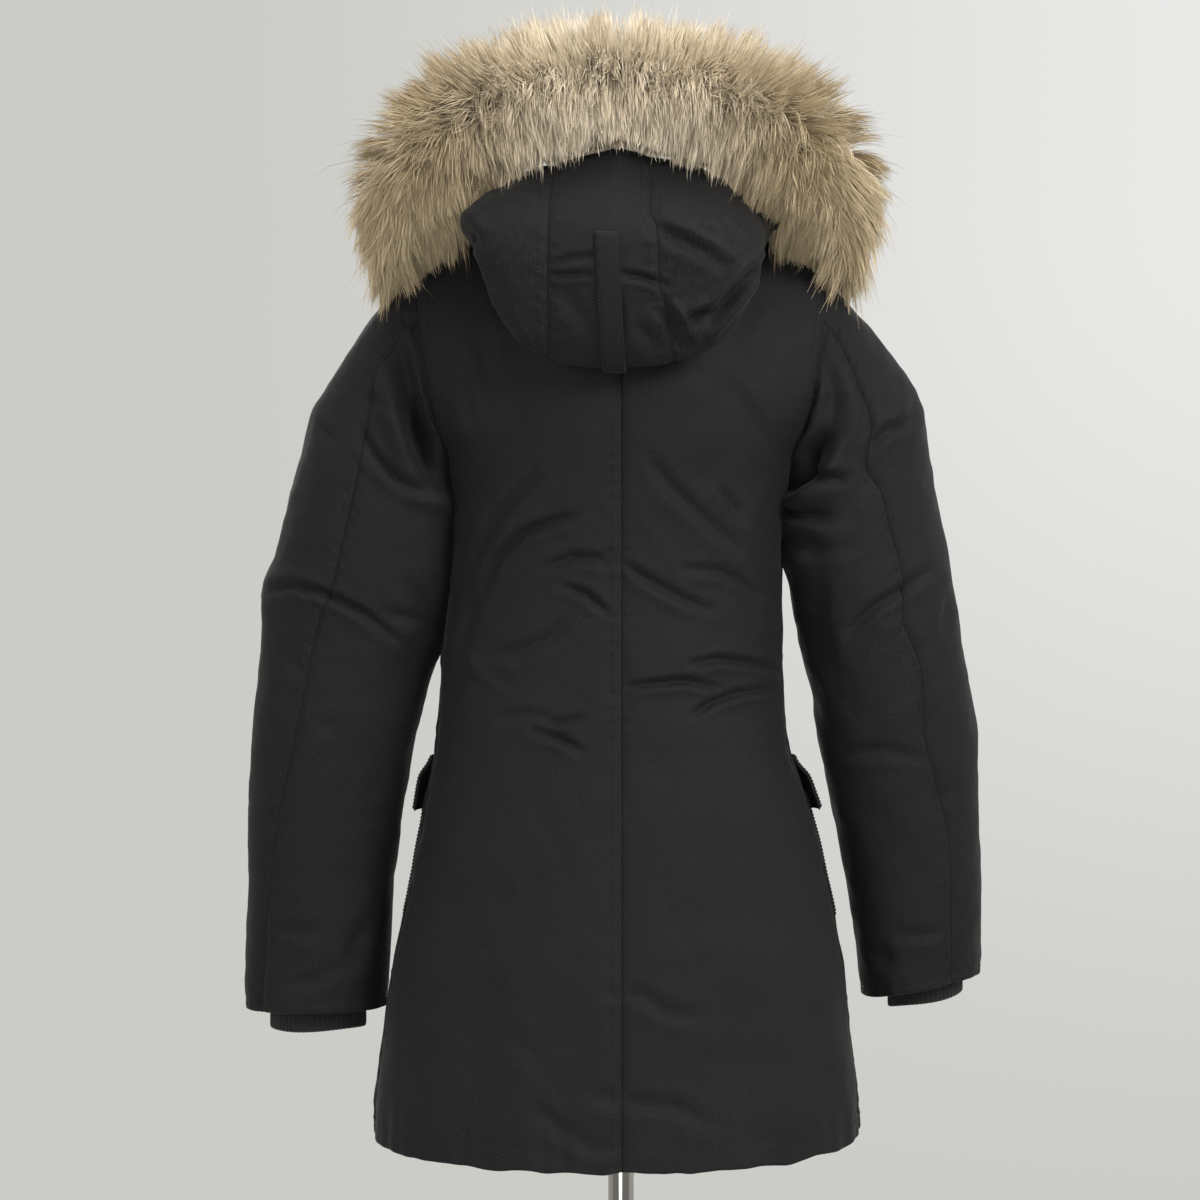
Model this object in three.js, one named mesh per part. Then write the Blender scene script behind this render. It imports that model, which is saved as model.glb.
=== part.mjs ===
// Hooded down parka with a fur ruff, worn by a dress form on a pole stand.
// Millimetres, +Z up, the coat's front faces -Y, the floor is z = 0.
import * as THREE from "three";

// Seams and cloth
const SEAM_GAP = 0.15;
const SEAT_GAP = 0.4;
const LAID_GAP = 0.9;
const BODY_WALL = 6;
const SLEEVE_WALL = 6;
const HOOD_WALL = 4;
const KNIT_WALL = 3;
const CLOTH_ROUNDNESS = 2.15;

// Coat body from hem to armpit: half widths to the wearer's left and right,
// and how far the back and the front stand from the middle
const HEM_RISE_LEFT = 8;
const HEM_RISE_RIGHT = 15;
const BODY_ROWS = [
  { z: 551, left: 229, right: 222, back: 150, front: 150 },
  { z: 590, left: 228, right: 219, back: 148, front: 149 },
  { z: 646, left: 221, right: 213, back: 143, front: 146 },
  { z: 715, left: 212, right: 206, back: 137, front: 141 },
  { z: 773, left: 199, right: 196, back: 131, front: 136 },
  { z: 834, left: 187, right: 182, back: 126, front: 130 },
  { z: 875, left: 180, right: 170, back: 123, front: 127 },
  { z: 912, left: 173, right: 157, back: 119, front: 123 },
  { z: 965, left: 169, right: 151, back: 113, front: 119 },
  { z: 1006, left: 167, right: 150, back: 111, front: 120 },
  { z: 1050, left: 162, right: 150, back: 111, front: 124 },
  { z: 1099, left: 157, right: 150, back: 113, front: 131 },
  { z: 1143, left: 157, right: 154, back: 116, front: 138 },
  { z: 1180, left: 159, right: 159, back: 118, front: 142 },
];
const LOWER_ROWS = 16;
const UPPER_ROWS = 12;
const BACK_COLUMNS = 10;
const FRONT_COLUMNS = 7;

// Middle lines of back and front from the armpit row to the neckline
const BACK_MIDDLE = [
  { at: 0, y: 118, z: 1180 },
  { at: 0.25, y: 121, z: 1231 },
  { at: 0.5, y: 118, z: 1283 },
  { at: 0.75, y: 103, z: 1336 },
  { at: 1, y: 78, z: 1385 },
];
const FRONT_MIDDLE = [
  { at: 0, y: -142, z: 1180 },
  { at: 0.25, y: -142, z: 1220 },
  { at: 0.5, y: -136, z: 1261 },
  { at: 0.75, y: -123, z: 1303 },
  { at: 1, y: -102, z: 1343 },
];

// Armhole: its lowest point, its top at the shoulder, and its depth each way
const ARMHOLE = {
  lowX: 159,
  lowZ: 1180,
  topX: 189,
  topY: -4,
  topZ: 1352,
  back: 72,
  front: 78,
  spread: 1.1,
};
const NECK_POINT = { x: 72, y: 4, z: 1412 };
const NECK_COLUMN = 0.42;

// Largest folds of the back, each a soft trough along a line; a negative
// depth is a ridge
const BACK_FOLDS = [
  { x1: 75, z1: 1169, x2: 129, z2: 1114, depth: 4, width: 17 },
  { x1: 66, z1: 1120, x2: 112, z2: 1090, depth: 4, width: 14 },
  { x1: 112, z1: 1090, x2: 125, z2: 1064, depth: 4, width: 14 },
  { x1: 47, z1: 1064, x2: 13, z2: 1041, depth: 4, width: 13 },
  { x1: 41, z1: 1048, x2: 72, z2: 1016, depth: 4, width: 13 },
  { x1: -27, z1: 1175, x2: -67, z2: 1131, depth: 4, width: 16 },
  { x1: -67, z1: 1131, x2: -104, z2: 1097, depth: 4, width: 16 },
  { x1: -81, z1: 1139, x2: -121, z2: 1100, depth: -3, width: 12 },
  { x1: -8, z1: 1077, x2: -79, z2: 1043, depth: 4, width: 13 },
  { x1: -64, z1: 1004, x2: -133, z2: 998, depth: 5, width: 12 },
  { x1: -6, z1: 980, x2: -85, z2: 982, depth: 5, width: 12 },
  { x1: -66, z1: 956, x2: -136, z2: 975, depth: 4, width: 12 },
  { x1: 20, z1: 700, x2: -69, z2: 682, depth: 3, width: 18 },
];
const FRONT_FOLDS = [
  { x1: 118, z1: 1160, x2: 60, z2: 1110, depth: 4, width: 16 },
  { x1: -122, z1: 1150, x2: -70, z2: 1096, depth: 4, width: 16 },
  { x1: 130, z1: 1010, x2: 60, z2: 1000, depth: 4, width: 14 },
  { x1: -126, z1: 990, x2: -50, z2: 1006, depth: 4, width: 14 },
  { x1: 120, z1: 960, x2: 70, z2: 974, depth: 3, width: 13 },
  { x1: -118, z1: 700, x2: -60, z2: 690, depth: 3, width: 18 },
];

// Sleeve rings from the shoulder to the sleeve end: the outer and the inner
// edge seen from behind, the middle and half depth, and the back seam's turn
// from the outer edge in degrees
const RING_POINTS = 24;
const LEFT_RINGS = [
  { ox: 207, oz: 1339, ix: 162, iz: 1165, y: -3, depth: 75, seam: 57 },
  { ox: 227, oz: 1317, ix: 160, iz: 1149, y: -4, depth: 75, seam: 59 },
  { ox: 247, oz: 1289, ix: 159.6, iz: 1131, y: -5, depth: 75, seam: 63 },
  { ox: 267, oz: 1259, ix: 159.4, iz: 1112, y: -6, depth: 75, seam: 71 },
  { ox: 286, oz: 1226, ix: 160, iz: 1092, y: -8, depth: 75, seam: 77 },
  { ox: 298, oz: 1180, ix: 162.6, iz: 1069, y: -10, depth: 76, seam: 77 },
  { ox: 310, oz: 1137, ix: 165.4, iz: 1044, y: -13, depth: 76, seam: 77 },
  { ox: 321, oz: 1095, ix: 169, iz: 1020, y: -16, depth: 76, seam: 77 },
  { ox: 333, oz: 1063, ix: 174, iz: 998, y: -19, depth: 75, seam: 76 },
  { ox: 335, oz: 1022, ix: 184, iz: 964, y: -23, depth: 72, seam: 72 },
  { ox: 339, oz: 976, ix: 193, iz: 928, y: -26, depth: 69, seam: 69 },
  { ox: 344, oz: 926, ix: 200, iz: 894, y: -30, depth: 66, seam: 66 },
  { ox: 347, oz: 880, ix: 206, iz: 858, y: -33, depth: 64, seam: 60 },
  { ox: 349, oz: 835, ix: 211, iz: 821, y: -36, depth: 62, seam: 55 },
  { ox: 350, oz: 785, ix: 216, iz: 779, y: -39, depth: 60, seam: 51 },
  { ox: 352, oz: 735, ix: 218, iz: 733, y: -42, depth: 58, seam: 48 },
  { ox: 353, oz: 700, ix: 220, iz: 701, y: -44, depth: 57, seam: 45 },
  { ox: 352, oz: 669, ix: 221, iz: 672, y: -45, depth: 56, seam: 43 },
];
const RIGHT_RINGS = [
  { ox: 203, oz: 1333, ix: 162, iz: 1166, y: -3, depth: 74, seam: 57 },
  { ox: 224, oz: 1311, ix: 159.5, iz: 1150, y: -4, depth: 74, seam: 62 },
  { ox: 244, oz: 1287, ix: 157, iz: 1133, y: -5, depth: 74, seam: 67 },
  { ox: 263, oz: 1262, ix: 155, iz: 1115, y: -6, depth: 74, seam: 71 },
  { ox: 277, oz: 1237, ix: 154.5, iz: 1097, y: -8, depth: 74, seam: 85 },
  { ox: 285, oz: 1194, ix: 157, iz: 1076, y: -10, depth: 74, seam: 77 },
  { ox: 292, oz: 1150, ix: 161, iz: 1048, y: -13, depth: 74, seam: 74 },
  { ox: 302, oz: 1105, ix: 167, iz: 1020, y: -16, depth: 73, seam: 72 },
  { ox: 310, oz: 1060, ix: 174, iz: 991, y: -19, depth: 72, seam: 78 },
  { ox: 318, oz: 1012, ix: 182, iz: 960, y: -23, depth: 70, seam: 71 },
  { ox: 327, oz: 966, ix: 185, iz: 932, y: -26, depth: 67, seam: 73 },
  { ox: 333, oz: 932, ix: 191, iz: 900, y: -30, depth: 64, seam: 76 },
  { ox: 334, oz: 886, ix: 199, iz: 864, y: -33, depth: 61, seam: 69 },
  { ox: 336, oz: 840, ix: 207, iz: 826, y: -36, depth: 59, seam: 62 },
  { ox: 338, oz: 792, ix: 215, iz: 782, y: -39, depth: 57, seam: 63 },
  { ox: 339, oz: 752, ix: 222, iz: 738, y: -42, depth: 55, seam: 64 },
  { ox: 339, oz: 728, ix: 226, iz: 708, y: -44, depth: 53, seam: 65 },
  { ox: 338, oz: 703, ix: 230, iz: 681, y: -45, depth: 52, seam: 65 },
];
const SLEEVE_STEPS = 20;
const BACK_SEAM_POINT = 4;
const UNDER_POINT = 12;
const FRONT_SEAM_POINT = 15;
const FRONT_SEAM_TURN = 225;

// Folds round each sleeve: the height and turn of both ends of a trough
const LEFT_SLEEVE_FOLDS = [
  { z1: 1066, turn1: 8, z2: 1046, turn2: 120, depth: 6, width: 13 },
  { z1: 1160, turn1: 100, z2: 1130, turn2: 150, depth: 5, width: 14 },
  { z1: 1196, turn1: 60, z2: 1176, turn2: 120, depth: 4, width: 13 },
  { z1: 1060, turn1: 300, z2: 1020, turn2: 215, depth: 6, width: 15 },
  { z1: 1120, turn1: 280, z2: 1080, turn2: 215, depth: 5, width: 15 },
  { z1: 748, turn1: 20, z2: 744, turn2: 80, depth: 3, width: 13 },
];
const RIGHT_SLEEVE_FOLDS = [
  { z1: 1086, turn1: 30, z2: 1030, turn2: 135, depth: 6, width: 13 },
  { z1: 1168, turn1: 95, z2: 1160, turn2: 150, depth: 6, width: 13 },
  { z1: 1212, turn1: 40, z2: 1196, turn2: 75, depth: 5, width: 12 },
  { z1: 1070, turn1: 300, z2: 1030, turn2: 215, depth: 6, width: 15 },
  { z1: 912, turn1: 60, z2: 908, turn2: 140, depth: 4, width: 12 },
  { z1: 742, turn1: 30, z2: 738, turn2: 90, depth: 3, width: 13 },
];

// Knit cuffs inside the sleeve ends
const KNIT_SEAT = 26;
const KNIT_CLEAR = 0.9;
const KNIT_POINTS = 20;
const LEFT_KNIT = { x: 286, y: -45, half: 45, depth: 39, drop: 21 };
const RIGHT_KNIT = { x: 288, y: -45, half: 35, depth: 34, drop: 17 };

// Fur ruff: a thick oval band from the front of the neck over the shoulder
// and up behind the neck. Columns: middle of the oval, how far the band leans
// out from upright, the way it faces round the neck, and its half sizes
const RUFF_MIDDLE_X = 3;
const RUFF_ROWS = [
  { x: 0, y: 138, z: 1510, lean: 0, turn: 0, long: 57, thick: 40 },
  { x: 84, y: 130, z: 1496, lean: 20, turn: 22, long: 60, thick: 41 },
  { x: 145, y: 110, z: 1468, lean: 43, turn: 45, long: 60, thick: 41 },
  { x: 184, y: 80, z: 1432, lean: 64, turn: 66, long: 57, thick: 40 },
  { x: 200, y: 42, z: 1406, lean: 84, turn: 85, long: 52, thick: 35 },
  { x: 199, y: 2, z: 1397, lean: 100, turn: 98, long: 50, thick: 32 },
  { x: 182, y: -42, z: 1391, lean: 108, turn: 112, long: 47, thick: 30 },
  { x: 150, y: -84, z: 1377, lean: 112, turn: 130, long: 45, thick: 28 },
  { x: 108, y: -118, z: 1354, lean: 116, turn: 148, long: 42, thick: 26 },
  { x: 66, y: -140, z: 1338, lean: 118, turn: 163, long: 38, thick: 24 },
];
const RUFF_STEPS = 16;
const RUFF_POINTS = 14;
const RUFF_ROOT = 0.34;
const RIM_GAP = 2.3;

// Hood hanging open behind the neck. Each row is a station from the middle of
// the back round to the front: the neckline turn, then the lay over the back,
// the fold at the bottom and the bulge, as x, y and z
const HOOD_SHIFT = { lay: 2, fold: 3, low: 5, high: 11 };
const HOOD_ROWS = [
  { turn: 0, layX: 0, layY: 128, layZ: 1312, foldX: 0, foldY: 146, foldZ: 1256 },
  { turn: 18, layX: 36, layY: 126, layZ: 1318, foldX: 57, foldY: 147, foldZ: 1262 },
  { turn: 36, layX: 68, layY: 118, layZ: 1336, foldX: 92, foldY: 148, foldZ: 1287 },
  { turn: 54, layX: 92, layY: 92, layZ: 1370, foldX: 108, foldY: 138, foldZ: 1322 },
  { turn: 72, layX: 106, layY: 52, layZ: 1403, foldX: 130, foldY: 92, foldZ: 1372 },
];
const HOOD_BULGE = [
  { lowX: 0, lowY: 184, lowZ: 1296, highX: 0, highY: 194, highZ: 1380 },
  { lowX: 72, lowY: 180, lowZ: 1304, highX: 84, highY: 186, highZ: 1380 },
  { lowX: 112, lowY: 168, lowZ: 1322, highX: 122, highY: 168, highZ: 1384 },
  { lowX: 124, lowY: 146, lowZ: 1352, highX: 138, highY: 136, highZ: 1384 },
  { lowX: 139, lowY: 92, lowZ: 1376, highX: 144, highY: 84, highZ: 1385 },
];
const HOOD_ROLL = { out: 16, up: -1 };
const HOOD_SIDE_TURNS = [90, 112, 134, 153, 168];
const HOOD_STEPS = 14;
const HOOD_MIDDLE_COLUMNS = 6;
const HOOD_SIDE_COLUMNS = 12;
const HOOD_SEAM_LEFT = { fold: 1.07, rim: 0.72 };
const HOOD_SEAM_RIGHT = { fold: 0.87, rim: 0.36 };
const HOOD_FOLD_STEP = 0.5;
const HOOD_END = 9;
const RUFF_RING_STEP = HOOD_END / RUFF_STEPS;

// Strap down the back of the hood
const STRAP = { width: 21, thick: 2.2, lift: 1.2, topStep: 0.77, endStep: 0.45, columns: 2, rows: 12 };
const STRAP_TOP_X = 14;
const STRAP_END_X = 5;

// Front closure and lower pockets
const FLY = { share: 2.6, thick: 4, columns: 4, rows: 26 };
const POCKET = { thick: 6, inner: 0.36, outer: 0.93, low: 752, high: 872, columns: 7, rows: 5 };
const FLAP = { thick: 4.5, inner: 0.34, outer: 0.965, low: 852, high: 908, stand: 7, columns: 7, rows: 4 };

// Dress form: half width, back and front depth, and sideways lean
const FORM_ROWS = [
  { z: 782, half: 146, back: 100, front: 98, shift: 0 },
  { z: 830, half: 152, back: 107, front: 103, shift: 0 },
  { z: 880, half: 150, back: 108, front: 104, shift: 0 },
  { z: 940, half: 135, back: 97, front: 99, shift: 0 },
  { z: 1000, half: 122, back: 88, front: 96, shift: 0 },
  { z: 1060, half: 126, back: 90, front: 106, shift: 0 },
  { z: 1120, half: 133, back: 94, front: 118, shift: 0 },
  { z: 1180, half: 138, back: 97, front: 124, shift: 0 },
  { z: 1230, half: 143, back: 97, front: 116, shift: 0 },
  { z: 1280, half: 150, back: 90, front: 98, shift: 0 },
  { z: 1320, half: 155, back: 76, front: 78, shift: 0 },
  { z: 1344, half: 150, back: 62, front: 62, shift: 0 },
  { z: 1363, half: 128, back: 54, front: 55, shift: 1 },
  { z: 1381, half: 94, back: 50, front: 52, shift: 2 },
  { z: 1396, half: 66, back: 49, front: 50, shift: 4 },
  { z: 1412, half: 55, back: 49, front: 50, shift: 6 },
  { z: 1440, half: 52, back: 49, front: 49, shift: 9 },
  { z: 1470, half: 51, back: 49, front: 49, shift: 13 },
];
const FORM_POINTS = 24;
const FINIAL_LEAN = 0.1;
const FINIAL_PROFILE = [
  { r: 47, z: 0 },
  { r: 47, z: 6 },
  { r: 40, z: 10 },
  { r: 18, z: 14 },
  { r: 11, z: 22 },
  { r: 9, z: 40 },
  { r: 11, z: 58 },
  { r: 17, z: 70 },
  { r: 21, z: 86 },
  { r: 20, z: 99 },
  { r: 15, z: 110 },
  { r: 8, z: 117 },
];
const FINIAL_TOP = 119;
const POLE_RADIUS = 12;
const STAND_FOOT = 62;
const BASE_PROFILE = [
  { r: 165, z: 0 },
  { r: 165, z: 5 },
  { r: 160, z: 9 },
  { r: 110, z: 15 },
  { r: 50, z: 21 },
  { r: 24, z: 26 },
  { r: 19, z: 34 },
  { r: 19, z: STAND_FOOT },
];
const ROUND_SEGMENTS = 24;

// Colours
const CLOTH = { color: 0x2b2b2d, roughness: 0.7, metalness: 0 };
const KNIT = { color: 0x222224, roughness: 0.95, metalness: 0 };
const FUR = { color: 0xa8947a, roughness: 1, metalness: 0 };
const LINEN = { color: 0xd6cfc2, roughness: 0.9, metalness: 0 };
const WOOD = { color: 0xc2a67e, roughness: 0.5, metalness: 0 };
const CHROME = { color: 0xc8cacc, roughness: 0.15, metalness: 1 };

const LEFT = 1;
const RIGHT = -1;
const BACK = 1;
const FRONT = -1;
const part = new THREE.Group();

const radians = (degrees) => (degrees * Math.PI) / 180;
const mix = (a, b, t) => a + (b - a) * t;
const signedPower = (value, power) => Math.sign(value) * Math.abs(value) ** power;
const clamp = (value, low, high) => Math.min(high, Math.max(low, value));
const smooth = (t) => t * t * (3 - 2 * t);

// A soft curve through the rows of a table, read at a place along them
function through(values, place) {
  const last = values.length - 1;
  const at = clamp(place, 0, last);
  const i = Math.min(last - 1, Math.floor(at));
  const t = at - i;
  const a = values[Math.max(0, i - 1)];
  const b = values[i];
  const c = values[i + 1];
  const d = values[Math.min(last, i + 2)];
  const slopeB = (c - a) / 2;
  const slopeC = (d - b) / 2;
  const t2 = t * t;
  const t3 = t2 * t;
  return (
    (2 * t3 - 3 * t2 + 1) * b +
    (t3 - 2 * t2 + t) * slopeB +
    (3 * t2 - 2 * t3) * c +
    (t3 - t2) * slopeC
  );
}
const readColumn = (rows, column, place) => through(rows.map((row) => row[column]), place);

// Where a value lies between the rows of a rising column
function placeOf(rows, column, value) {
  let i = 0;
  while (i < rows.length - 2 && rows[i + 1][column] < value) i += 1;
  const low = rows[i][column];
  return i + clamp((value - low) / (rows[i + 1][column] - low), 0, 1);
}

function addMesh(name, geometry, look) {
  const mesh = new THREE.Mesh(geometry, new THREE.MeshStandardMaterial(look));
  mesh.name = name;
  part.add(mesh);
}

function geometryOf(points, faces) {
  const flat = points.flatMap((p) => [p.x, p.y, p.z]);
  const geometry = new THREE.BufferGeometry();
  geometry.setAttribute("position", new THREE.Float32BufferAttribute(flat, 3));
  geometry.setIndex(faces);
  return geometry;
}

// Normal of a surface given by two measures, from points close by
function normalOf(surface, u, v) {
  const step = 0.004;
  const alongU = surface(u + step, v).sub(surface(u - step, v));
  const alongV = surface(u, v + step).sub(surface(u, v - step));
  return alongU.cross(alongV).normalize();
}

// A sewn panel: an outer face, an inner face and the cut edges between them.
// Each edge is drawn back a little from its seam line
function panel(name, look, plan) {
  const { outer, inner, columns, rows, trim, flip } = plan;
  const outerPoints = [];
  const innerPoints = [];
  for (let j = 0; j <= rows; j += 1) {
    for (let i = 0; i <= columns; i += 1) {
      outerPoints.push(outer(i / columns, j / rows));
      innerPoints.push(inner(i / columns, j / rows));
    }
  }
  const at = (i, j) => j * (columns + 1) + i;
  const draw = (edge, next, gap) => {
    [outerPoints, innerPoints].forEach((points) => {
      const way = points[next].clone().sub(points[edge]);
      const length = Math.max(way.length(), 0.5);
      points[edge].addScaledVector(way, Math.min(0.45, gap / length));
    });
  };
  for (let j = 0; j <= rows; j += 1) {
    draw(at(0, j), at(1, j), trim[0]);
    draw(at(columns, j), at(columns - 1, j), trim[1]);
  }
  for (let i = 0; i <= columns; i += 1) {
    draw(at(i, 0), at(i, 1), trim[2]);
    draw(at(i, rows), at(i, rows - 1), trim[3]);
  }
  const count = outerPoints.length;
  const faces = [];
  const quad = (a, b, c, d) => {
    const order = flip ? [a, c, b, a, d, c] : [a, b, c, a, c, d];
    faces.push(...order);
  };
  for (let j = 0; j < rows; j += 1) {
    for (let i = 0; i < columns; i += 1) {
      quad(at(i, j), at(i + 1, j), at(i + 1, j + 1), at(i, j + 1));
      quad(count + at(i, j), count + at(i, j + 1), count + at(i + 1, j + 1), count + at(i + 1, j));
    }
  }
  for (let i = 0; i < columns; i += 1) {
    quad(at(i + 1, 0), at(i, 0), count + at(i, 0), count + at(i + 1, 0));
    quad(at(i, rows), at(i + 1, rows), count + at(i + 1, rows), count + at(i, rows));
  }
  for (let j = 0; j < rows; j += 1) {
    quad(at(0, j), at(0, j + 1), count + at(0, j + 1), count + at(0, j));
    quad(at(columns, j), count + at(columns, j), count + at(columns, j + 1), at(columns, j + 1));
  }
  addMesh(name, geometryOf([...outerPoints, ...innerPoints], faces), look);
}

// A closed skin over rings of points, with a flat cap at each end
function lofted(name, look, rings) {
  const count = rings[0].length;
  const points = rings.flat();
  const faces = [];
  for (let j = 0; j < rings.length - 1; j += 1) {
    for (let i = 0; i < count; i += 1) {
      const a = j * count + i;
      const b = j * count + ((i + 1) % count);
      faces.push(a, b, b + count, a, b + count, a + count);
    }
  }
  const start = points.length;
  const middle = (ring) => ring.reduce((sum, p) => sum.add(p), new THREE.Vector3()).divideScalar(count);
  points.push(middle(rings[0]), middle(rings[rings.length - 1]));
  const top = (rings.length - 1) * count;
  for (let i = 0; i < count; i += 1) {
    const next = (i + 1) % count;
    faces.push(start, next, i);
    faces.push(start + 1, top + i, top + next);
  }
  addMesh(name, geometryOf(points, faces), look);
}

// A tube wall: two skins of rings joined at both open ends
function tubeWall(name, look, outerRings, innerRings) {
  const count = outerRings[0].length;
  const rows = outerRings.length;
  const points = [...outerRings.flat(), ...innerRings.flat()];
  const shift = count * rows;
  const faces = [];
  const quad = (a, b, c, d) => faces.push(a, b, c, a, c, d);
  for (let i = 0; i < count; i += 1) {
    const next = (i + 1) % count;
    for (let j = 0; j < rows - 1; j += 1) {
      const a = j * count + i;
      const b = j * count + next;
      quad(a, b, b + count, a + count);
      quad(shift + b, shift + a, shift + a + count, shift + b + count);
    }
    const last = (rows - 1) * count;
    quad(next, i, shift + i, shift + next);
    quad(last + i, last + next, shift + last + next, shift + last + i);
  }
  addMesh(name, geometryOf(points, faces), look);
}

function turned(name, look, profile, top, place) {
  const points = [new THREE.Vector2(0, profile[0].z)];
  profile.forEach((row) => points.push(new THREE.Vector2(row.r, row.z)));
  points.push(new THREE.Vector2(0, top));
  const geometry = new THREE.LatheGeometry(points, ROUND_SEGMENTS);
  geometry.rotateX(Math.PI / 2);
  place(geometry);
  addMesh(name, geometry, look);
}

// Depth of the folds at a place on a panel
function foldDepth(folds, a, b) {
  let depth = 0;
  folds.forEach((fold) => {
    const wayA = fold.a2 - fold.a1;
    const wayB = fold.b2 - fold.b1;
    const length = wayA * wayA + wayB * wayB;
    const along = ((a - fold.a1) * wayA + (b - fold.b1) * wayB) / length;
    const near = clamp(along, 0, 1);
    const off = Math.hypot(a - fold.a1 - wayA * near, b - fold.b1 - wayB * near);
    depth += fold.depth * Math.exp(-((off / fold.width) ** 2));
  });
  return depth;
}
const flatFolds = (rows) =>
  rows.map((row) => ({
    a1: row.x1,
    b1: row.z1,
    a2: row.x2,
    b2: row.z2,
    depth: row.depth,
    width: row.width,
  }));
const backFolds = flatFolds(BACK_FOLDS);
const frontFolds = flatFolds(FRONT_FOLDS);

// Armhole edge, from the armpit (0) to the shoulder (1), on the back or front
function armhole(side, face, t) {
  const turn = t * Math.PI;
  const middle = (ARMHOLE.lowZ + ARMHOLE.topZ) / 2;
  const half = (ARMHOLE.topZ - ARMHOLE.lowZ) / 2;
  const reach = face === BACK ? ARMHOLE.back : ARMHOLE.front;
  const out = Math.abs(Math.sin(turn / 2)) ** ARMHOLE.spread;
  return new THREE.Vector3(
    side * mix(ARMHOLE.lowX, ARMHOLE.topX, out),
    face * reach * Math.abs(Math.sin(turn)) ** 0.92 + ARMHOLE.topY * t,
    middle - half * Math.cos(turn),
  );
}

// Neckline, by its turn from the middle of the back round to the front
function neckline(side, turn) {
  const back = BACK_MIDDLE[BACK_MIDDLE.length - 1];
  const front = FRONT_MIDDLE[FRONT_MIDDLE.length - 1];
  const angle = radians(Math.abs(turn));
  const across = NECK_POINT.x * Math.abs(Math.sin(angle)) ** 0.9;
  const facing = Math.cos(angle);
  const end = facing > 0 ? back : front;
  const share = Math.abs(facing);
  return new THREE.Vector3(
    side * across,
    mix(NECK_POINT.y, end.y, share),
    mix(NECK_POINT.z, end.z, share ** 1.6),
  );
}

// Lower body: one quarter of a level section, from the middle to the side
function quarter(side, face, u, row) {
  const width = readColumn(BODY_ROWS, side === LEFT ? "left" : "right", row);
  const depth = readColumn(BODY_ROWS, face === BACK ? "back" : "front", row);
  const angle = (u * Math.PI) / 2;
  const power = 2 / CLOTH_ROUNDNESS;
  const rise = side === LEFT ? HEM_RISE_LEFT : HEM_RISE_RIGHT;
  const nearHem = clamp(1 - row / 3, 0, 1);
  return new THREE.Vector3(
    side * width * signedPower(Math.sin(angle), power),
    face * depth * signedPower(Math.cos(angle), power),
    readColumn(BODY_ROWS, "z", row) + rise * nearHem * clamp(u, 0, 1) ** 2,
  );
}

// Upper body between the armpit row, the middle, the armhole and the shoulder
function yoke(side, face, u, t) {
  const last = BODY_ROWS.length - 1;
  const middleRows = face === BACK ? BACK_MIDDLE : FRONT_MIDDLE;
  const middleAt = (s) => {
    const place = placeOf(middleRows, "at", s);
    return new THREE.Vector3(0, readColumn(middleRows, "y", place), readColumn(middleRows, "z", place));
  };
  const shoulder = armhole(side, face, 1);
  const topAt = (s) => {
    if (s <= NECK_COLUMN) {
      const share = s / NECK_COLUMN;
      return neckline(side, face === BACK ? 90 * share : 180 - 90 * share);
    }
    const share = (s - NECK_COLUMN) / (1 - NECK_COLUMN);
    const place = neckline(side, 90).lerp(shoulder, share);
    place.z += 5 * Math.sin(share * Math.PI);
    return place;
  };
  const low = quarter(side, face, u, last);
  const high = topAt(clamp(u, -0.01, 1));
  const middle = middleAt(t);
  const edge = armhole(side, face, t);
  const point = low.clone().multiplyScalar(1 - t).addScaledVector(high, t);
  point.addScaledVector(middle, 1 - u).addScaledVector(edge, u);
  const lowMiddle = quarter(side, face, 0, last);
  const lowSide = quarter(side, face, 1, last);
  const highMiddle = middleAt(1);
  point.addScaledVector(lowMiddle, -(1 - u) * (1 - t));
  point.addScaledVector(lowSide, -u * (1 - t));
  point.addScaledVector(highMiddle, -(1 - u) * t);
  point.addScaledVector(shoulder, -u * t);
  return point;
}

// The coat body's outer face: u from the middle to the side, v from the hem up
const SPLIT = LOWER_ROWS / (LOWER_ROWS + UPPER_ROWS);
function bodyFace(side, face, u, v) {
  if (v <= SPLIT) {
    const height = mix(BODY_ROWS[0].z, BODY_ROWS[BODY_ROWS.length - 1].z, v / SPLIT);
    return quarter(side, face, u, placeOf(BODY_ROWS, "z", height));
  }
  return yoke(side, face, u, (v - SPLIT) / (1 - SPLIT));
}
function ownNormal(side, face, u, v) {
  const surface = (a, b) => bodyFace(side, face, a, clamp(b, 0, 1));
  const low = v < SPLIT ? v : Math.max(v, SPLIT + 0.005);
  return normalOf(surface, clamp(u, 0, 0.995), low).multiplyScalar(side * face * -1);
}
// At the shoulder and round the top of the armhole both sides of a seam share
// one direction for their thickness, so their walls meet without crossing
const armholeHold = (t) => smooth(clamp((t - 0.3) / 0.25, 0, 1));
function bodyNormal(side, face, u, v) {
  const normal = ownNormal(side, face, u, v);
  const nearTop = smooth(clamp((v - 0.9) / 0.1, 0, 1)) * smooth(clamp((u - NECK_COLUMN + 0.08) / 0.12, 0, 1));
  if (nearTop > 0) normal.addScaledVector(ownNormal(side, -face, u, v), nearTop).normalize();
  const t = (v - SPLIT) / (1 - SPLIT);
  const nearArm = smooth(clamp((u - 0.8) / 0.2, 0, 1)) * armholeHold(t);
  if (nearArm > 0) {
    const half = RING_POINTS / 2;
    const index = face === BACK ? half * (1 - t) : half * (1 + t);
    normal.addScaledVector(armNormal(side, index, 0), nearArm).normalize();
  }
  return normal;
}
function bodyPoint(side, face, u, v, lift) {
  return bodyFace(side, face, u, v).addScaledVector(bodyNormal(side, face, u, v), lift);
}
const bodyRow = (z) => ((z - BODY_ROWS[0].z) / (BODY_ROWS[BODY_ROWS.length - 1].z - BODY_ROWS[0].z)) * SPLIT;

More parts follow.
